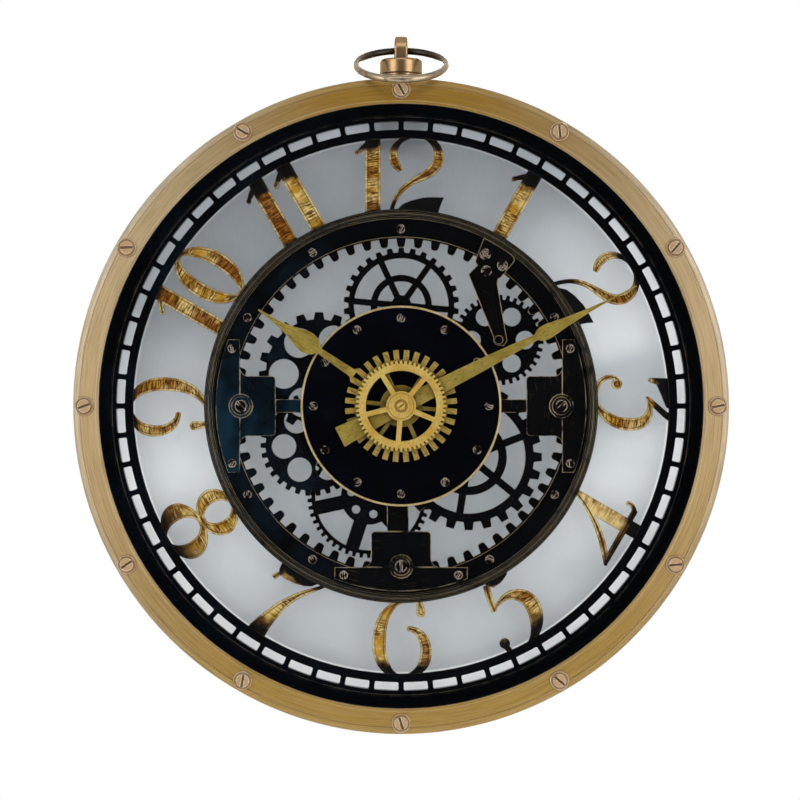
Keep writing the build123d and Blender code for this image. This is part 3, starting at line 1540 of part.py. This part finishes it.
# Minute hand: a tapered bar with a pointed spade and a flared tail
with BuildPart() as minute_hand:
    with BuildSketch(front_plane(minute_height, minute_angle)):
        Circle(minute_hub)
        brush(minute_stem)
        brush(minute_spade)
        Polygon(
            (-minute_tail_root / 2, 0), (-minute_tail_end / 2, -minute_tail_length),
            (minute_tail_end / 2, -minute_tail_length), (minute_tail_root / 2, 0), align=None,
        )
        Circle(cannon_radius, mode=Mode.SUBTRACT)
    extrude(amount=minute_thickness)
finish(minute_hand, "minute_hand")

# Seconds gear: a fine-toothed five-spoke wheel in front of the hands
with BuildPart() as seconds_gear:
    with BuildSketch(front_plane(seconds_height)):
        Polygon(
            *toothed_points(
                seconds_gear_teeth, seconds_gear_root, seconds_gear_tip, wheel_root_share, wheel_tip_share
            ),
            align=None,
        )
        Circle(seconds_gear_rim, mode=Mode.SUBTRACT)
        Circle(seconds_hub)
        spokes(
            seconds_gear_spokes,
            seconds_gear_spoke_angle,
            seconds_hub / 2,
            seconds_gear_root,
            seconds_gear_spoke_width,
        )
        Circle(arbor_radius, mode=Mode.SUBTRACT)
    extrude(amount=seconds_thickness)
    tube(front_plane(seconds_front), seconds_boss, seconds_cap + seconds_cap_rise, seconds_boss_rise)
    slotted_head(
        front_plane(seconds_front), seconds_cap, seconds_cap_rise, seconds_cap_slot, hour_gear_spoke_angle
    )
finish(seconds_gear, "seconds_gear")
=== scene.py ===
import json
from math import radians

import bpy
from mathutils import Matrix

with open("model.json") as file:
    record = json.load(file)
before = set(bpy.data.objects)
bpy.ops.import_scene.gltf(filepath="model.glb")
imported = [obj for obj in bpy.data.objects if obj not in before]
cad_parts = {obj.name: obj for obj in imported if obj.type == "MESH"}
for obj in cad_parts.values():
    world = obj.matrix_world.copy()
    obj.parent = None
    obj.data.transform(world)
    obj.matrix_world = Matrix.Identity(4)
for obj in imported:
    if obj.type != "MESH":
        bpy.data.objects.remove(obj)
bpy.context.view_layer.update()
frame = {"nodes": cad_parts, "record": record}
nodes = frame["nodes"]
scene = bpy.context.scene
scene.view_settings.view_transform = "Standard"

# Places on the part in metres, each as the start and the end of a change of finish. The bezel's shoulder
# starts a painted highlight, the band, inner ring, foot and light places change the panel's painted light and
# shade, the bow's front ends its painted shade at the back, and the blue place starts a painted blue
# reflection.
# Radii are about the dial's axis, x points to three o'clock, and the front faces -Y.
bezel_shoulder_radii = (0.1600, 0.1645)
window_band_radii = (0.1365, 0.1385)
inner_ring_radii = (0.098, 0.080)
hour_teeth_outer_radii = (0.034, 0.031)
hour_teeth_inner_radii = (0.0225, 0.0240)
numeral_rim_y = (-0.0286, -0.0289)
bow_front_y = (-0.022, -0.046)
blue_reflection_x = (0.0, -0.085)
lacquer_brown_x = (-0.07, 0.09)
panel_foot_z = (-0.02, -0.12)
panel_painted_light = (-0.115, 0.01)
panel_painted_light_lean = 0.35
burnt_fray = 0.010
foot_fade = 0.005


def shaded(colour, share):
    return [share * channel for channel in colour]


def lifted(colour, gain, offset):
    return [min(1.0, gain * channel + offset) for channel in colour]


class Finish:
    """One material and short calls that build its node tree."""

    def __init__(self, name):
        self.material = bpy.data.materials.new(name)
        self.material.use_nodes = True
        self.tree = self.material.node_tree
        self.tree.nodes.clear()
        self.place = self.make("TexCoord", {}).outputs["Object"]

    def make(self, kind, inputs, **settings):
        """Add a node; each input is a socket to link or a constant."""
        node = self.tree.nodes.new("ShaderNode" + kind)
        for key, value in settings.items():
            setattr(node, key, value)
        for key, source in inputs.items():
            if isinstance(source, bpy.types.NodeSocket):
                self.tree.links.new(source, node.inputs[key])
            else:
                node.inputs[key].default_value = source
        return node

    def math(self, operation, first, second=0.0):
        return self.make("Math", {0: first, 1: second}, operation=operation).outputs[0]

    def times(self, first, second):
        return self.math("MULTIPLY", first, second)

    def plus(self, first, second):
        return self.math("ADD", first, second)

    def minus(self, first, second):
        return self.math("SUBTRACT", first, second)

    def step(self, value, start, end):
        """0 before the start, 1 past the end and a smooth change between; the end may be the lower one."""
        inputs = {"Value": value, "From Min": start, "From Max": end}
        return self.make("MapRange", inputs, interpolation_type="SMOOTHSTEP").outputs["Result"]

    def ramp(self, share, low, high):
        return self.make("MapRange", {"Value": share, "To Min": low, "To Max": high}).outputs["Result"]

    def mix(self, share, first, second, most=1.0):
        """Blend two colours; most is the second one's largest share."""
        if most != 1.0:
            share = self.times(share, most)
        colours = [c if isinstance(c, bpy.types.NodeSocket) else (*c, 1.0) for c in (first, second)]
        inputs = {0: share, 6: colours[0], 7: colours[1]}
        return self.make("Mix", inputs, data_type="RGBA").outputs[2]

    def split(self, vector):
        return self.make("SeparateXYZ", {0: vector}).outputs

    def geometry(self, output):
        return self.make("NewGeometry", {}).outputs[output]

    def polar(self):
        """Radius about the dial axis in metres, and the sine and cosine of the clock angle."""
        x, _, z = self.split(self.place)
        square = self.plus(self.times(x, x), self.times(z, z))
        radius = self.math("MAXIMUM", self.math("SQRT", square), 0.0001)
        return radius, self.math("DIVIDE", x, radius), self.math("DIVIDE", z, radius)

    def rings(self, across, along):
        """Coordinates whose noise runs along circles about the dial axis."""
        radius, sine, cosine = self.polar()
        inputs = {0: self.times(radius, across), 1: self.times(sine, along), 2: self.times(cosine, along)}
        return self.make("CombineXYZ", inputs).outputs[0]

    def turned(self, degrees):
        """Coordinates turned about the dial axis."""
        inputs = {"Vector": self.place, "Rotation": (0.0, radians(degrees), 0.0)}
        return self.make("Mapping", inputs).outputs[0]

    def stretched(self, scale, place=None):
        return self.make("Mapping", {"Vector": place or self.place, "Scale": scale}).outputs[0]

    def noise(self, scale, place=None, detail=5.0, rough=0.6):
        inputs = {"Vector": place or self.place, "Scale": scale, "Detail": detail, "Roughness": rough}
        return self.make("TexNoise", inputs).outputs["Fac"]

    def rounded(self, width):
        return self.make("Bevel", {"Radius": width}, samples=6).outputs[0]

    def edges(self, width, start=0.01, end=0.2):
        """How near a point is to a sharp outer or inner edge."""
        inputs = {0: self.rounded(width), 1: self.geometry("Normal")}
        likeness = self.make("VectorMath", inputs, operation="DOT_PRODUCT").outputs["Value"]
        return self.step(self.minus(1.0, likeness), start, end)

    def hollows(self, reach, start, end):
        """How deep a point lies in a corner or under a neighbour."""
        open_share = self.make("AmbientOcclusion", {"Distance": reach}, samples=6).outputs["AO"]
        return self.step(self.minus(1.0, open_share), start, end)

    def bump(self, height, depth, rounding):
        inputs = {"Height": height, "Distance": depth, "Strength": 1.0, "Normal": self.rounded(rounding)}
        return self.make("Bump", inputs).outputs[0]

    def close(self, **inputs):
        """Finish the tree with a Principled shader; an underscore stands for a space in a socket's name."""
        named = {key.replace("_", " "): value for key, value in inputs.items()}
        return self.surface(self.make("BsdfPrincipled", named).outputs[0])

    def surface(self, shader):
        self.make("OutputMaterial", {"Surface": shader})
        return self.material


def brushed_gold():
    """Bezel: fine concentric brushing, deeper gold at the top and in the lower half. The pale upper sides are
    a painted sheen, and its outer shoulder and edges carry painted highlights.
    """
    top_gold, low_gold, side_sheen_gold = (0.45, 0.250, 0.038), (0.56, 0.350, 0.090), (0.64, 0.475, 0.270)
    end_shoulder, side_sheen_shoulder = (0.52, 0.35, 0.13), (0.84, 0.73, 0.58)
    brush_brown, broad_gold, edge_highlight_gold = (0.20, 0.100, 0.014), (0.62, 0.46, 0.22), (0.92, 0.76, 0.52)
    f = Finish("brushed_antique_gold")
    fine = f.noise(1.0, f.rings(across=4200.0, along=7.0), detail=3.0)
    broad = f.noise(1.0, f.rings(across=800.0, along=3.0), detail=4.0)
    radius, sine, cosine = f.polar()
    low = f.step(cosine, 0.6, -1.0)
    # tilt, pale and side pick out the upper sides for a painted sheen, half as strong in the lower half.
    tilt = f.minus(f.times(cosine, 0.20), f.times(sine, 0.08))
    pale = f.step(f.plus(f.math("ABSOLUTE", sine), tilt), 0.35, 1.0)
    side = f.times(pale, f.minus(1.0, f.times(low, 0.5)))
    gold = f.mix(side, f.mix(low, top_gold, low_gold), side_sheen_gold)
    # The shoulder band is a painted highlight, palest where the painted sheen is.
    shoulder = f.mix(side, end_shoulder, side_sheen_shoulder)
    shouldered = f.mix(f.step(radius, *bezel_shoulder_radii), gold, shoulder, most=0.75)
    streaked = f.mix(f.step(fine, 0.42, 0.66), shouldered, brush_brown, most=0.47)
    toned = f.mix(f.step(broad, 0.45, 0.75), streaked, broad_gold, most=0.30)
    # A painted highlight along the edges.
    edge_highlit_gold = f.mix(f.edges(width=0.0014), toned, edge_highlight_gold, most=0.80)
    return f.close(
        Base_Color=edge_highlit_gold, Metallic=0.75, Roughness=f.ramp(fine, 0.42, 0.56),
        Anisotropic=0.75, Anisotropic_Rotation=0.25,
        Tangent=f.make("Tangent", {}, direction_type="RADIAL", axis="Y").outputs[0],
        Normal=f.bump(fine, depth=0.00003, rounding=0.0006),
    )


def polished(name, colour, dark, roughness, grain=420.0, width=0.0004, metallic=1.0, glint=None, reach=0.003,
             rounding=0.0004, hollow_shade_steps=(0.15, 0.75), specular=0.5):
    """Turned and polished metal: faint clouding, painted shade in its hollows and painted glints, broken up,
    along the edges.
    """
    f = Finish(name)
    cloud = f.noise(grain)
    body = f.mix(f.step(cloud, 0.35, 0.8), colour, shaded(colour, 0.78))
    # Painted glints along the edges, broken up by noise.
    broken = f.step(f.noise(300.0, detail=2.0), 0.44, 0.54)
    glints = f.times(f.edges(width, 0.02, 0.12), broken)
    bright = f.mix(glints, body, glint or lifted(colour, gain=1.35, offset=0.04))
    # Painted shade in the hollows, in the dark colour.
    hollow_shaded = f.mix(f.hollows(reach, *hollow_shade_steps), bright, dark, most=0.95)
    return f.close(
        Base_Color=hollow_shaded, Metallic=metallic, Roughness=f.ramp(cloud, roughness - 0.06, roughness + 0.1),
        Specular_IOR_Level=specular, Normal=f.bump(cloud, depth=0.00001, rounding=rounding),
    )


def bow_metal():
    """Bow: brass that hands have rubbed bright at the front, painted dark pewter at the back as painted shade.
    """
    back_shade_pewter, front_brass, tarnish = (0.045, 0.042, 0.036), (0.52, 0.40, 0.26), (0.10, 0.085, 0.06)
    f = Finish("rubbed_dark_brass")
    cloud = f.noise(260.0)
    _, y, _ = f.split(f.place)
    # The back is painted dark as shade; the front is rubbed brass.
    brass = f.mix(f.step(y, *bow_front_y), back_shade_pewter, front_brass)
    toned = f.mix(f.step(cloud, 0.45, 0.8), brass, tarnish)
    return f.close(
        Base_Color=toned, Metallic=1.0, Roughness=0.34, Normal=f.bump(cloud, depth=0.00003, rounding=0.0003),
    )


def gloss_black():
    """Moulded black with a faint ripple."""
    deep_black, soft_black = (0.0008, 0.0013, 0.0030), (0.0022, 0.0033, 0.0066)
    f = Finish("gloss_black")
    ripple = f.noise(60.0, f.rings(across=300.0, along=6.0))
    return f.close(
        Base_Color=f.mix(f.step(ripple, 0.3, 0.8), deep_black, soft_black),
        Roughness=f.ramp(ripple, 0.12, 0.24), Normal=f.bump(ripple, depth=0.00002, rounding=0.0003),
    )


def worn_black(name, wear, brushed, roughness, tint, blue=0.0, spread=0.0006, bare=0.58):
    """Black lacquer with a painted blue reflection to the left, browner to the right. Gold and silver show at
    rubbed edges, and dry-brushed streaks follow the ring. wear, brushed and blue are the strengths of the
    rubbing, the streaks and the painted blue reflection; spread is the rubbed edges' width, and the higher
    bare is, the fewer of them show."""
    blue_sheen, gold_dust = (0.006, 0.021, 0.036), (0.15, 0.105, 0.042)
    bare_gold, bare_silver = (0.80, 0.58, 0.27), (0.74, 0.69, 0.60)
    f = Finish(name)
    x, _, _ = f.split(f.place)
    blotch = f.noise(95.0)
    cloud = f.noise(38.0, detail=2.0)
    grit = f.noise(900.0, detail=3.0)
    streak = f.noise(1.0, f.rings(across=1500.0, along=9.0), detail=4.0)
    black = f.mix(f.step(cloud, 0.42, 0.7), tint, shaded(tint, 2.4), most=0.6)
    # A painted blue reflection on the left side.
    left = f.times(f.step(x, *blue_reflection_x), f.step(cloud, 0.36, 0.62))
    sheen = f.mix(left, black, blue_sheen, most=blue)
    right = f.ramp(f.step(x, *lacquer_brown_x), 0.4, 1.0)
    rub = f.times(f.step(streak, 0.56, 0.78), f.step(blotch, 0.46, 0.66))
    dusted = f.mix(f.times(rub, right), sheen, gold_dust, most=brushed)
    patch = f.step(f.plus(blotch, f.times(grit, 0.4)), bare, bare + 0.28)
    edge = f.times(f.times(f.edges(spread, 0.04, 0.14), patch), wear)
    metal = f.mix(f.step(streak, 0.4, 0.7), bare_gold, bare_silver)
    return f.close(
        Base_Color=f.mix(edge, dusted, metal), Metallic=f.times(edge, 0.6),
        Roughness=f.ramp(grit, roughness - 0.05, roughness + 0.08), Specular_IOR_Level=0.18,
        Normal=f.bump(grit, depth=0.000008, rounding=0.0006),
    )


def streaked_gold(name, burnt_from, burnt_to, foot, lean=0.0):
    """Numerals: bright rims round a sunk face of aged gold leaf with brown streaks, with painted shade in the
    face's corners and a painted shadow line along the rims' edges. The end by the track is burnt black between
    two radii, and the end by the inner ring as far as the foot reaches; a foot may lean to the right."""
    pale_leaf, deep_leaf, brown_leaf = (1.00, 0.74, 0.27), (0.64, 0.335, 0.032), (0.32, 0.095, 0.008)
    streak_brown, recess_shade_brown = (0.075, 0.017, 0.002), (0.030, 0.009, 0.002)
    pale_rim, deep_rim, aged_rim = (0.97, 0.72, 0.30), (0.46, 0.22, 0.030), (0.17, 0.050, 0.005)
    scorched, burnt, rim_edge_shade_brown = (0.10, 0.038, 0.008), (0.0030, 0.0028, 0.0032), (0.045, 0.020, 0.006)
    f = Finish(name)
    radius, _, _ = f.polar()
    x, y, _ = f.split(f.place)
    blotch = f.noise(130.0)
    patch = f.noise(60.0, detail=2.0)
    hatch = f.noise(1.0, f.rings(across=1250.0, along=22.0), detail=4.0, rough=0.7)
    rim = f.step(y, *numeral_rim_y)
    leaf = f.mix(f.step(blotch, 0.40, 0.60), pale_leaf, deep_leaf)
    gold = f.mix(f.step(patch, 0.45, 0.59), leaf, brown_leaf, most=0.88)
    aged = f.times(f.step(hatch, 0.46, 0.54), f.step(patch, 0.29, 0.49))
    streaks = f.mix(aged, gold, streak_brown, most=0.92)
    # Painted shade in the corners of the sunk face.
    face = f.mix(f.hollows(0.0012, 0.16, 0.50), streaks, recess_shade_brown)
    border = f.mix(f.step(blotch, 0.42, 0.62), pale_rim, deep_rim)
    rimmed = f.mix(rim, face, f.mix(aged, border, aged_rim, most=0.6))
    ragged = f.plus(radius, f.times(f.minus(f.noise(190.0), 0.5), burnt_fray))
    outer = f.step(ragged, burnt_from, burnt_to)
    inner = f.step(f.minus(ragged, f.times(x, lean)), foot, foot - foot_fade)
    ends = f.math("MAXIMUM", outer, inner)
    browned = f.mix(f.step(ends, 0.0, 0.5), rimmed, scorched, most=0.7)
    dark = f.mix(f.step(ends, 0.35, 0.95), browned, burnt)
    # A painted shadow line along the rims' edges.
    rim_edge_shade = f.times(f.edges(0.0011, 0.10, 0.20), rim)
    return f.close(
        Base_Color=f.mix(rim_edge_shade, dark, rim_edge_shade_brown, most=0.85),
        Metallic=f.times(f.minus(1.0, f.times(ends, 0.85)), 0.35), Roughness=0.34, Specular_IOR_Level=0.15,
        Normal=f.bump(hatch, depth=0.00012, rounding=0.0006),
    )


def satin_gold(name, colour, shade, hollow_shade_colour, roughness, metallic, reach=0.0025, spin=0.0, heart=None, speck=0.75):
    """Satin plated gold with a fine brushed grain at an angle, painted highlights along its edges and painted
    shade in its hollows; the heart colours the teeth round the middle of the hour hand."""
    f = Finish(name)
    grain = f.noise(2600.0, f.stretched((1.0, 1.0, 0.12), f.turned(spin)), detail=3.0)
    cloud = f.noise(85.0)
    body = f.mix(f.step(cloud, 0.34, 0.68), colour, shade)
    if heart:
        radius, _, _ = f.polar()
        teeth = f.times(f.step(radius, *hour_teeth_outer_radii), f.step(radius, *hour_teeth_inner_radii))
        body = f.mix(teeth, body, heart)
    specked = f.mix(f.step(grain, 0.50, 0.62), body, shaded(shade, 0.45), most=speck)
    # A painted highlight along the edges.
    edged = f.mix(f.edges(width=0.0004), specked, lifted(colour, gain=1.35, offset=0.05), most=0.65)
    # Painted shade in the hollows.
    hollow_shaded = f.mix(f.hollows(reach, 0.10, 0.55), edged, hollow_shade_colour, most=0.85)
    return f.close(
        Base_Color=hollow_shaded, Metallic=metallic, Roughness=f.ramp(grain, roughness - 0.05, roughness + 0.1),
        Normal=f.bump(grain, depth=0.00003, rounding=0.0004),
    )


def pane():
    """Clear glass: lets light through and mirrors a little on the side that is met first, more at a slant."""
    f = Finish("clear_pane")
    smear_and_shade = f.ramp(f.noise(9.0), 0.0, 0.05)
    mirror = f.make("BsdfGlossy", {"Color": (0.9, 0.93, 0.95, 1.0), "Roughness": smear_and_shade}).outputs[0]
    clear = f.make("BsdfTransparent", {"Color": (0.985, 0.99, 0.99, 1.0)}).outputs[0]
    slant = f.make("Fresnel", {"IOR": 1.2}).outputs[0]
    share = f.times(slant, f.minus(1.0, f.geometry("Backfacing")))
    return f.surface(f.make("MixShader", {0: share, 1: clear, 2: mirror}).outputs[0])


def satin_grey():
    """Back panel: opal grey sheet that lets light through, with soft patches of painted shade. Its front
    carries painted
    light and shade: painted shade at the upper left and painted light to the lower right, darker inside the
    inner ring, and a painted pool of light in the band behind the minute track; it is plain at the back."""
    outer_dark, outer_pale, outer_low = (0.077, 0.092, 0.106), (0.46, 0.478, 0.495), (0.285, 0.300, 0.312)
    inner_dark, inner_pale = (0.110, 0.129, 0.144), (0.200, 0.217, 0.230)
    band_dark, band_pale = (0.27, 0.295, 0.315), (0.93, 0.94, 0.95)
    back_dark, back_pale = (0.31, 0.325, 0.34), (0.37, 0.385, 0.40)
    shade_patch_grey, grain_grey = (0.095, 0.112, 0.128), (0.80, 0.82, 0.85)
    f = Finish("opal_grey_panel")
    x, _, z = f.split(f.place)
    radius, _, _ = f.polar()
    # light paints the light and shade: shade at the upper left, light to the lower right.
    light = f.step(f.minus(f.times(x, panel_painted_light_lean), z), *panel_painted_light)
    # Soft patches of painted shade.
    smear_and_shade = f.noise(13.0, f.stretched((1.0, 1.0, 1.6)), detail=2.0, rough=0.4)
    grain = f.noise(1800.0, f.stretched((1.0, 1.0, 0.08)))
    outer = f.mix(f.step(z, *panel_foot_z), f.mix(light, outer_dark, outer_pale), outer_low)
    grey = f.mix(f.step(radius, *inner_ring_radii), outer, f.mix(light, inner_dark, inner_pale))
    shade_patched = f.mix(f.step(smear_and_shade, 0.46, 0.72), grey, shade_patch_grey, most=0.5)
    fine = f.mix(grain, shade_patched, grain_grey, most=0.04)
    # The band behind the minute track is painted pale, a painted pool of light.
    banded = f.mix(f.step(radius, *window_band_radii), fine, f.mix(light, band_dark, band_pale))
    behind = f.step(f.split(f.geometry("Normal"))["Y"], 0.2, 0.6)
    return f.close(
        Base_Color=f.mix(behind, banded, f.mix(grain, back_dark, back_pale)), Roughness=0.42,
        Specular_IOR_Level=0.3, Subsurface_Weight=1.0, Subsurface_Radius=(1.0, 1.0, 1.0),
        Subsurface_Scale=0.006, Normal=f.bump(grain, depth=0.00001, rounding=0.0002),
    )


def moulded(name, colour, roughness):
    """Moulded plastic with a fine spark-eroded grain and a painted highlight along its edges."""
    f = Finish(name)
    grain = f.noise(1500.0, detail=2.0)
    body = f.mix(f.step(f.noise(110.0), 0.3, 0.75), colour, shaded(colour, 0.8))
    # rubbed is a painted highlight along the edges.
    rubbed = f.mix(f.edges(width=0.0004), body, lifted(colour, gain=1.5, offset=0.02), most=0.35)
    return f.close(
        Base_Color=rubbed, Roughness=roughness, Normal=f.bump(grain, depth=0.00004, rounding=0.0003),
    )


def wound_copper():
    """Coil: enamelled turns of wire side by side, with painted shade in the grooves between them."""
    groove_shade_brown, wire_copper = (0.16, 0.05, 0.02), (0.62, 0.27, 0.12)
    f = Finish("wound_copper")
    inputs = {"Vector": f.place, "Scale": 900.0, "Distortion": 0.2}
    turns = f.make("TexWave", inputs, bands_direction="X").outputs["Fac"]
    return f.close(
        Base_Color=f.mix(turns, groove_shade_brown, wire_copper), Metallic=0.8, Roughness=0.35,
        Normal=f.bump(turns, depth=0.0001, rounding=0.0002),
    )


# Finishes by the record's material slots
hand_colour, hand_shade = (0.46, 0.335, 0.062), (0.31, 0.210, 0.027)
finishes = {
    "antique_gold": brushed_gold(),
    "rose_brass": polished(
        "rosy_brass", (0.53, 0.335, 0.165), (0.050, 0.022, 0.009), 0.26, grain=70.0, metallic=0.85,
        glint=(0.95, 0.74, 0.56), width=0.0010,
    ),
    "dark_brass": bow_metal(),
    "black_gloss": gloss_black(),
    "worn_black": worn_black(
        "worn_black", wear=1.0, brushed=0.6, roughness=0.20, tint=(0.0012, 0.0013, 0.0016), spread=0.0010,
    ),
    "copper_screw": polished(
        "dark_copper", (0.006, 0.0038, 0.0028), (0.002, 0.0012, 0.0008), 0.20, metallic=0.15,
        glint=(1.00, 0.80, 0.64), width=0.0007, reach=0.0008, rounding=0.0002, hollow_shade_steps=(0.20, 0.60),
        specular=0.15,
    ),
    "hand_gold": satin_gold(
        "mustard_gold", hand_colour, hand_shade, (0.10, 0.055, 0.010), roughness=0.36, metallic=0.35,
        spin=-63.0,
    ),
    "bright_gold": satin_gold(
        "bright_gold", (0.95, 0.67, 0.19), (0.80, 0.47, 0.080), (0.20, 0.050, 0.006), roughness=0.26,
        metallic=0.4, reach=0.0022, speck=0.25,
    ),
    "pale_gold": satin_gold(
        "pale_gold", (0.82, 0.60, 0.30), (0.66, 0.45, 0.19), (0.16, 0.08, 0.03), roughness=0.32, metallic=0.5,
    ),
    "clear_glass": pane(),
    "satin_grey": satin_grey(),
    "steel": polished("bright_steel", (0.55, 0.55, 0.56), (0.05, 0.05, 0.05), 0.30),
    "plain_brass": polished("bright_brass", (0.70, 0.50, 0.20), (0.08, 0.05, 0.02), 0.28),
    "black_plate": moulded("black_paint", (0.008, 0.008, 0.010), 0.45),
    "movement_black": moulded("matt_black", (0.018, 0.018, 0.020), 0.55),
    "train_ivory": moulded("ivory_resin", (0.72, 0.68, 0.56), 0.45),
    "copper_wire": wound_copper(),
    "board_green": moulded("green_lacquer", (0.02, 0.13, 0.05), 0.35),
    "battery_shell": moulded("dark_wrap", (0.045, 0.045, 0.055), 0.3),
}

# Finishes of single pieces, which come before their slot's
special = {
    "bezel_screws": polished(
        "gold_screw", (0.66, 0.42, 0.22), (0.040, 0.016, 0.004), 0.34, grain=150.0, metallic=0.4,
        glint=(1.00, 0.84, 0.62), width=0.0009, reach=0.0016, hollow_shade_steps=(0.06, 0.36),
    ),
    # Its long reach paints shade on the teeth under the seconds gear.
    "hour_hand": satin_gold(
        "two_tone_gold", hand_colour, hand_shade, (0.085, 0.030, 0.004), roughness=0.34, metallic=0.35,
        reach=0.006, spin=58.0, heart=(0.56, 0.375, 0.075),
    ),
    "centre_disc": worn_black(
        "disc_black", wear=0.10, brushed=0.0, roughness=0.14, tint=(0.0005, 0.0006, 0.0020), blue=0.1,
    ),
    "inner_gear_ring": worn_black(
        "ring_black", wear=1.0, brushed=0.12, roughness=0.18, tint=(0.0010, 0.0011, 0.0014), blue=0.25,
        spread=0.0004, bare=0.47,
    ),
    # The left bracket's blue tint and full blue are a painted blue reflection.
    "bracket_left": worn_black(
        "blue_black", wear=1.0, brushed=0.25, roughness=0.18, tint=(0.0012, 0.0042, 0.0070), blue=1.0,
        spread=0.0008,
    ),
    "bracket_right": worn_black(
        "brown_black", wear=1.0, brushed=0.9, roughness=0.20, tint=(0.0014, 0.0014, 0.0016), spread=0.0008,
    ),
    "wheel_cock": worn_black(
        "cock_black", wear=1.0, brushed=0.7, roughness=0.20, tint=(0.0014, 0.0013, 0.0012), spread=0.0009,
        bare=0.44,
    ),
    "minute_track": worn_black(
        "track_black", wear=0.15, brushed=0.03, roughness=0.20, tint=(0.0006, 0.0010, 0.0019), blue=0.15,
    ),
}
for place in ("top", "upper_right", "lower_right", "bottom", "lower_left", "upper_left"):
    special[f"wheel_{place}"] = worn_black(
        f"black_wheel_{place}", wear=0.30, brushed=0.05, roughness=0.24, tint=(0.0008, 0.0010, 0.0016),
        blue=0.4,
    )

# Each numeral's burnt end: the radii where it starts and is whole, the reach of its dark foot and, for the 12,
# the foot's lean
burnt_ends = {
    1: (0.1265, 0.1310, 0.1030), 2: (0.1310, 0.1370, 0.1135), 3: (0.1275, 0.1325, 0.0990),
    4: (0.1250, 0.1335, 0.0990), 5: (0.1240, 0.1340, 0.1060), 6: (0.1285, 0.1355, 0.0990),
    7: (0.1235, 0.1375, 0.1075), 8: (0.1205, 0.1400, 0.1010), 9: (0.1325, 0.1385, 0.0990),
    10: (0.1335, 0.1385, 0.1010), 11: (0.1265, 0.1310, 0.1040), 12: (0.1295, 0.1345, 0.1085, 0.25),
}
for hour, ends in burnt_ends.items():
    special[f"numeral_{hour}"] = streaked_gold(f"streaked_gold_{hour}", *ends)

for entry in frame["record"]["subparts"]:
    piece = nodes[entry["node"]]
    piece.data.materials.clear()
    piece.data.materials.append(special.get(entry["node"]) or finishes[entry["material_slot"]])

# Stage: a pale floor well below the hung clock and a white backdrop far behind it
floor_z = -0.75
backdrop_y = 2.4
stage_half = 3.0
floor_grey = (0.82, 0.82, 0.82)
backdrop_grey = (0.9, 0.9, 0.9)


def stage_sheet(name, corners, colour, glowing):
    """A sheet of matt paper; a glowing one shows as plain white, also in metal and through glass."""
    mesh = bpy.data.meshes.new(name)
    mesh.from_pydata(corners, [], [(0, 1, 2, 3)])
    sheet = bpy.data.objects.new(name, mesh)
    scene.collection.objects.link(sheet)
    f = Finish(name)
    paper = f.mix(f.noise(30.0), colour, shaded(colour, 0.96))
    shader = f.make("BsdfDiffuse", {"Color": paper}).outputs[0]
    if glowing:
        rays = f.make("LightPath", {}).outputs
        mirrored = f.plus(rays["Is Glossy Ray"], rays["Is Transmission Ray"])
        seen = f.math("MINIMUM", f.plus(rays["Is Camera Ray"], mirrored), 1.0)
        glow = f.make("Emission", {"Color": (1.0, 1.0, 1.0, 1.0), "Strength": 1.0}).outputs[0]
        shader = f.make("MixShader", {0: seen, 1: shader, 2: glow}).outputs[0]
    mesh.materials.append(f.surface(shader))


stage_sheet(
    "floor",
    [(-stage_half, -stage_half, floor_z), (stage_half, -stage_half, floor_z),
     (stage_half, backdrop_y, floor_z), (-stage_half, backdrop_y, floor_z)],
    floor_grey, glowing=False,
)
stage_sheet(
    "backdrop",
    [(-stage_half, backdrop_y, floor_z), (stage_half, backdrop_y, floor_z),
     (stage_half, backdrop_y, stage_half), (-stage_half, backdrop_y, stage_half)],
    backdrop_grey, glowing=True,
)

# Light all round, held back in front so that nothing mirrors the camera's side of the room
room_colour = (0.95, 0.975, 1.0, 1.0)
room_strength = 0.50
front_strength = 0.06
front_y = (-0.95, -0.80)
world = bpy.data.worlds.new("studio")
world.use_nodes = True
world_nodes = world.node_tree.nodes
world_links = world.node_tree.links
background = world_nodes["Background"]
background.inputs["Color"].default_value = room_colour
direction = world_nodes.new("ShaderNodeSeparateXYZ")
strength = world_nodes.new("ShaderNodeMapRange")
strength.interpolation_type = "SMOOTHSTEP"
strength.inputs["From Min"].default_value = front_y[0]
strength.inputs["From Max"].default_value = front_y[1]
strength.inputs["To Min"].default_value = front_strength
strength.inputs["To Max"].default_value = room_strength
world_links.new(world_nodes.new("ShaderNodeTexCoord").outputs["Generated"], direction.inputs[0])
world_links.new(direction.outputs["Y"], strength.inputs["Value"])
world_links.new(strength.outputs["Result"], background.inputs["Strength"])
scene.world = world


def softbox(name, place, width, height, power):
    """An area lamp in watts that faces the clock and doesn't show itself."""
    lamp = bpy.data.lights.new(name, "AREA")
    lamp.shape = "RECTANGLE"
    lamp.size = width
    lamp.size_y = height
    lamp.energy = power
    holder = bpy.data.objects.new(name, lamp)
    scene.collection.objects.link(holder)
    holder.location = place
    holder.visible_camera = False
    aim = holder.location * -1.0
    holder.rotation_mode = "QUATERNION"
    holder.rotation_quaternion = aim.to_track_quat("-Z", "Y")


softbox("softbox_left", (-1.0, -1.1, 0.15), width=0.8, height=1.4, power=6.7)
softbox("softbox_right", (1.0, -1.1, 0.1), width=0.8, height=1.4, power=7.4)
softbox("softbox_top", (0.0, -1.0, 1.1), width=1.2, height=0.6, power=2.4)
softbox("softbox_low", (0.0, -1.1, -0.66), width=1.2, height=0.15, power=1.0)
softbox("softbox_rear", (0.0, 1.0, 0.35), width=0.9, height=0.6, power=12.5)

# Camera straight in front, at the photograph's distance and framing
camera_place = (-0.00055, -1.252, 0.00306)
camera_data = bpy.data.cameras.new("camera")
camera_data.lens = 107.6
camera_data.sensor_width = 36.0
camera = bpy.data.objects.new("camera", camera_data)
scene.collection.objects.link(camera)
camera.location = camera_place
camera.rotation_euler = (radians(90.0), 0.0, 0.0)
scene.camera = camera
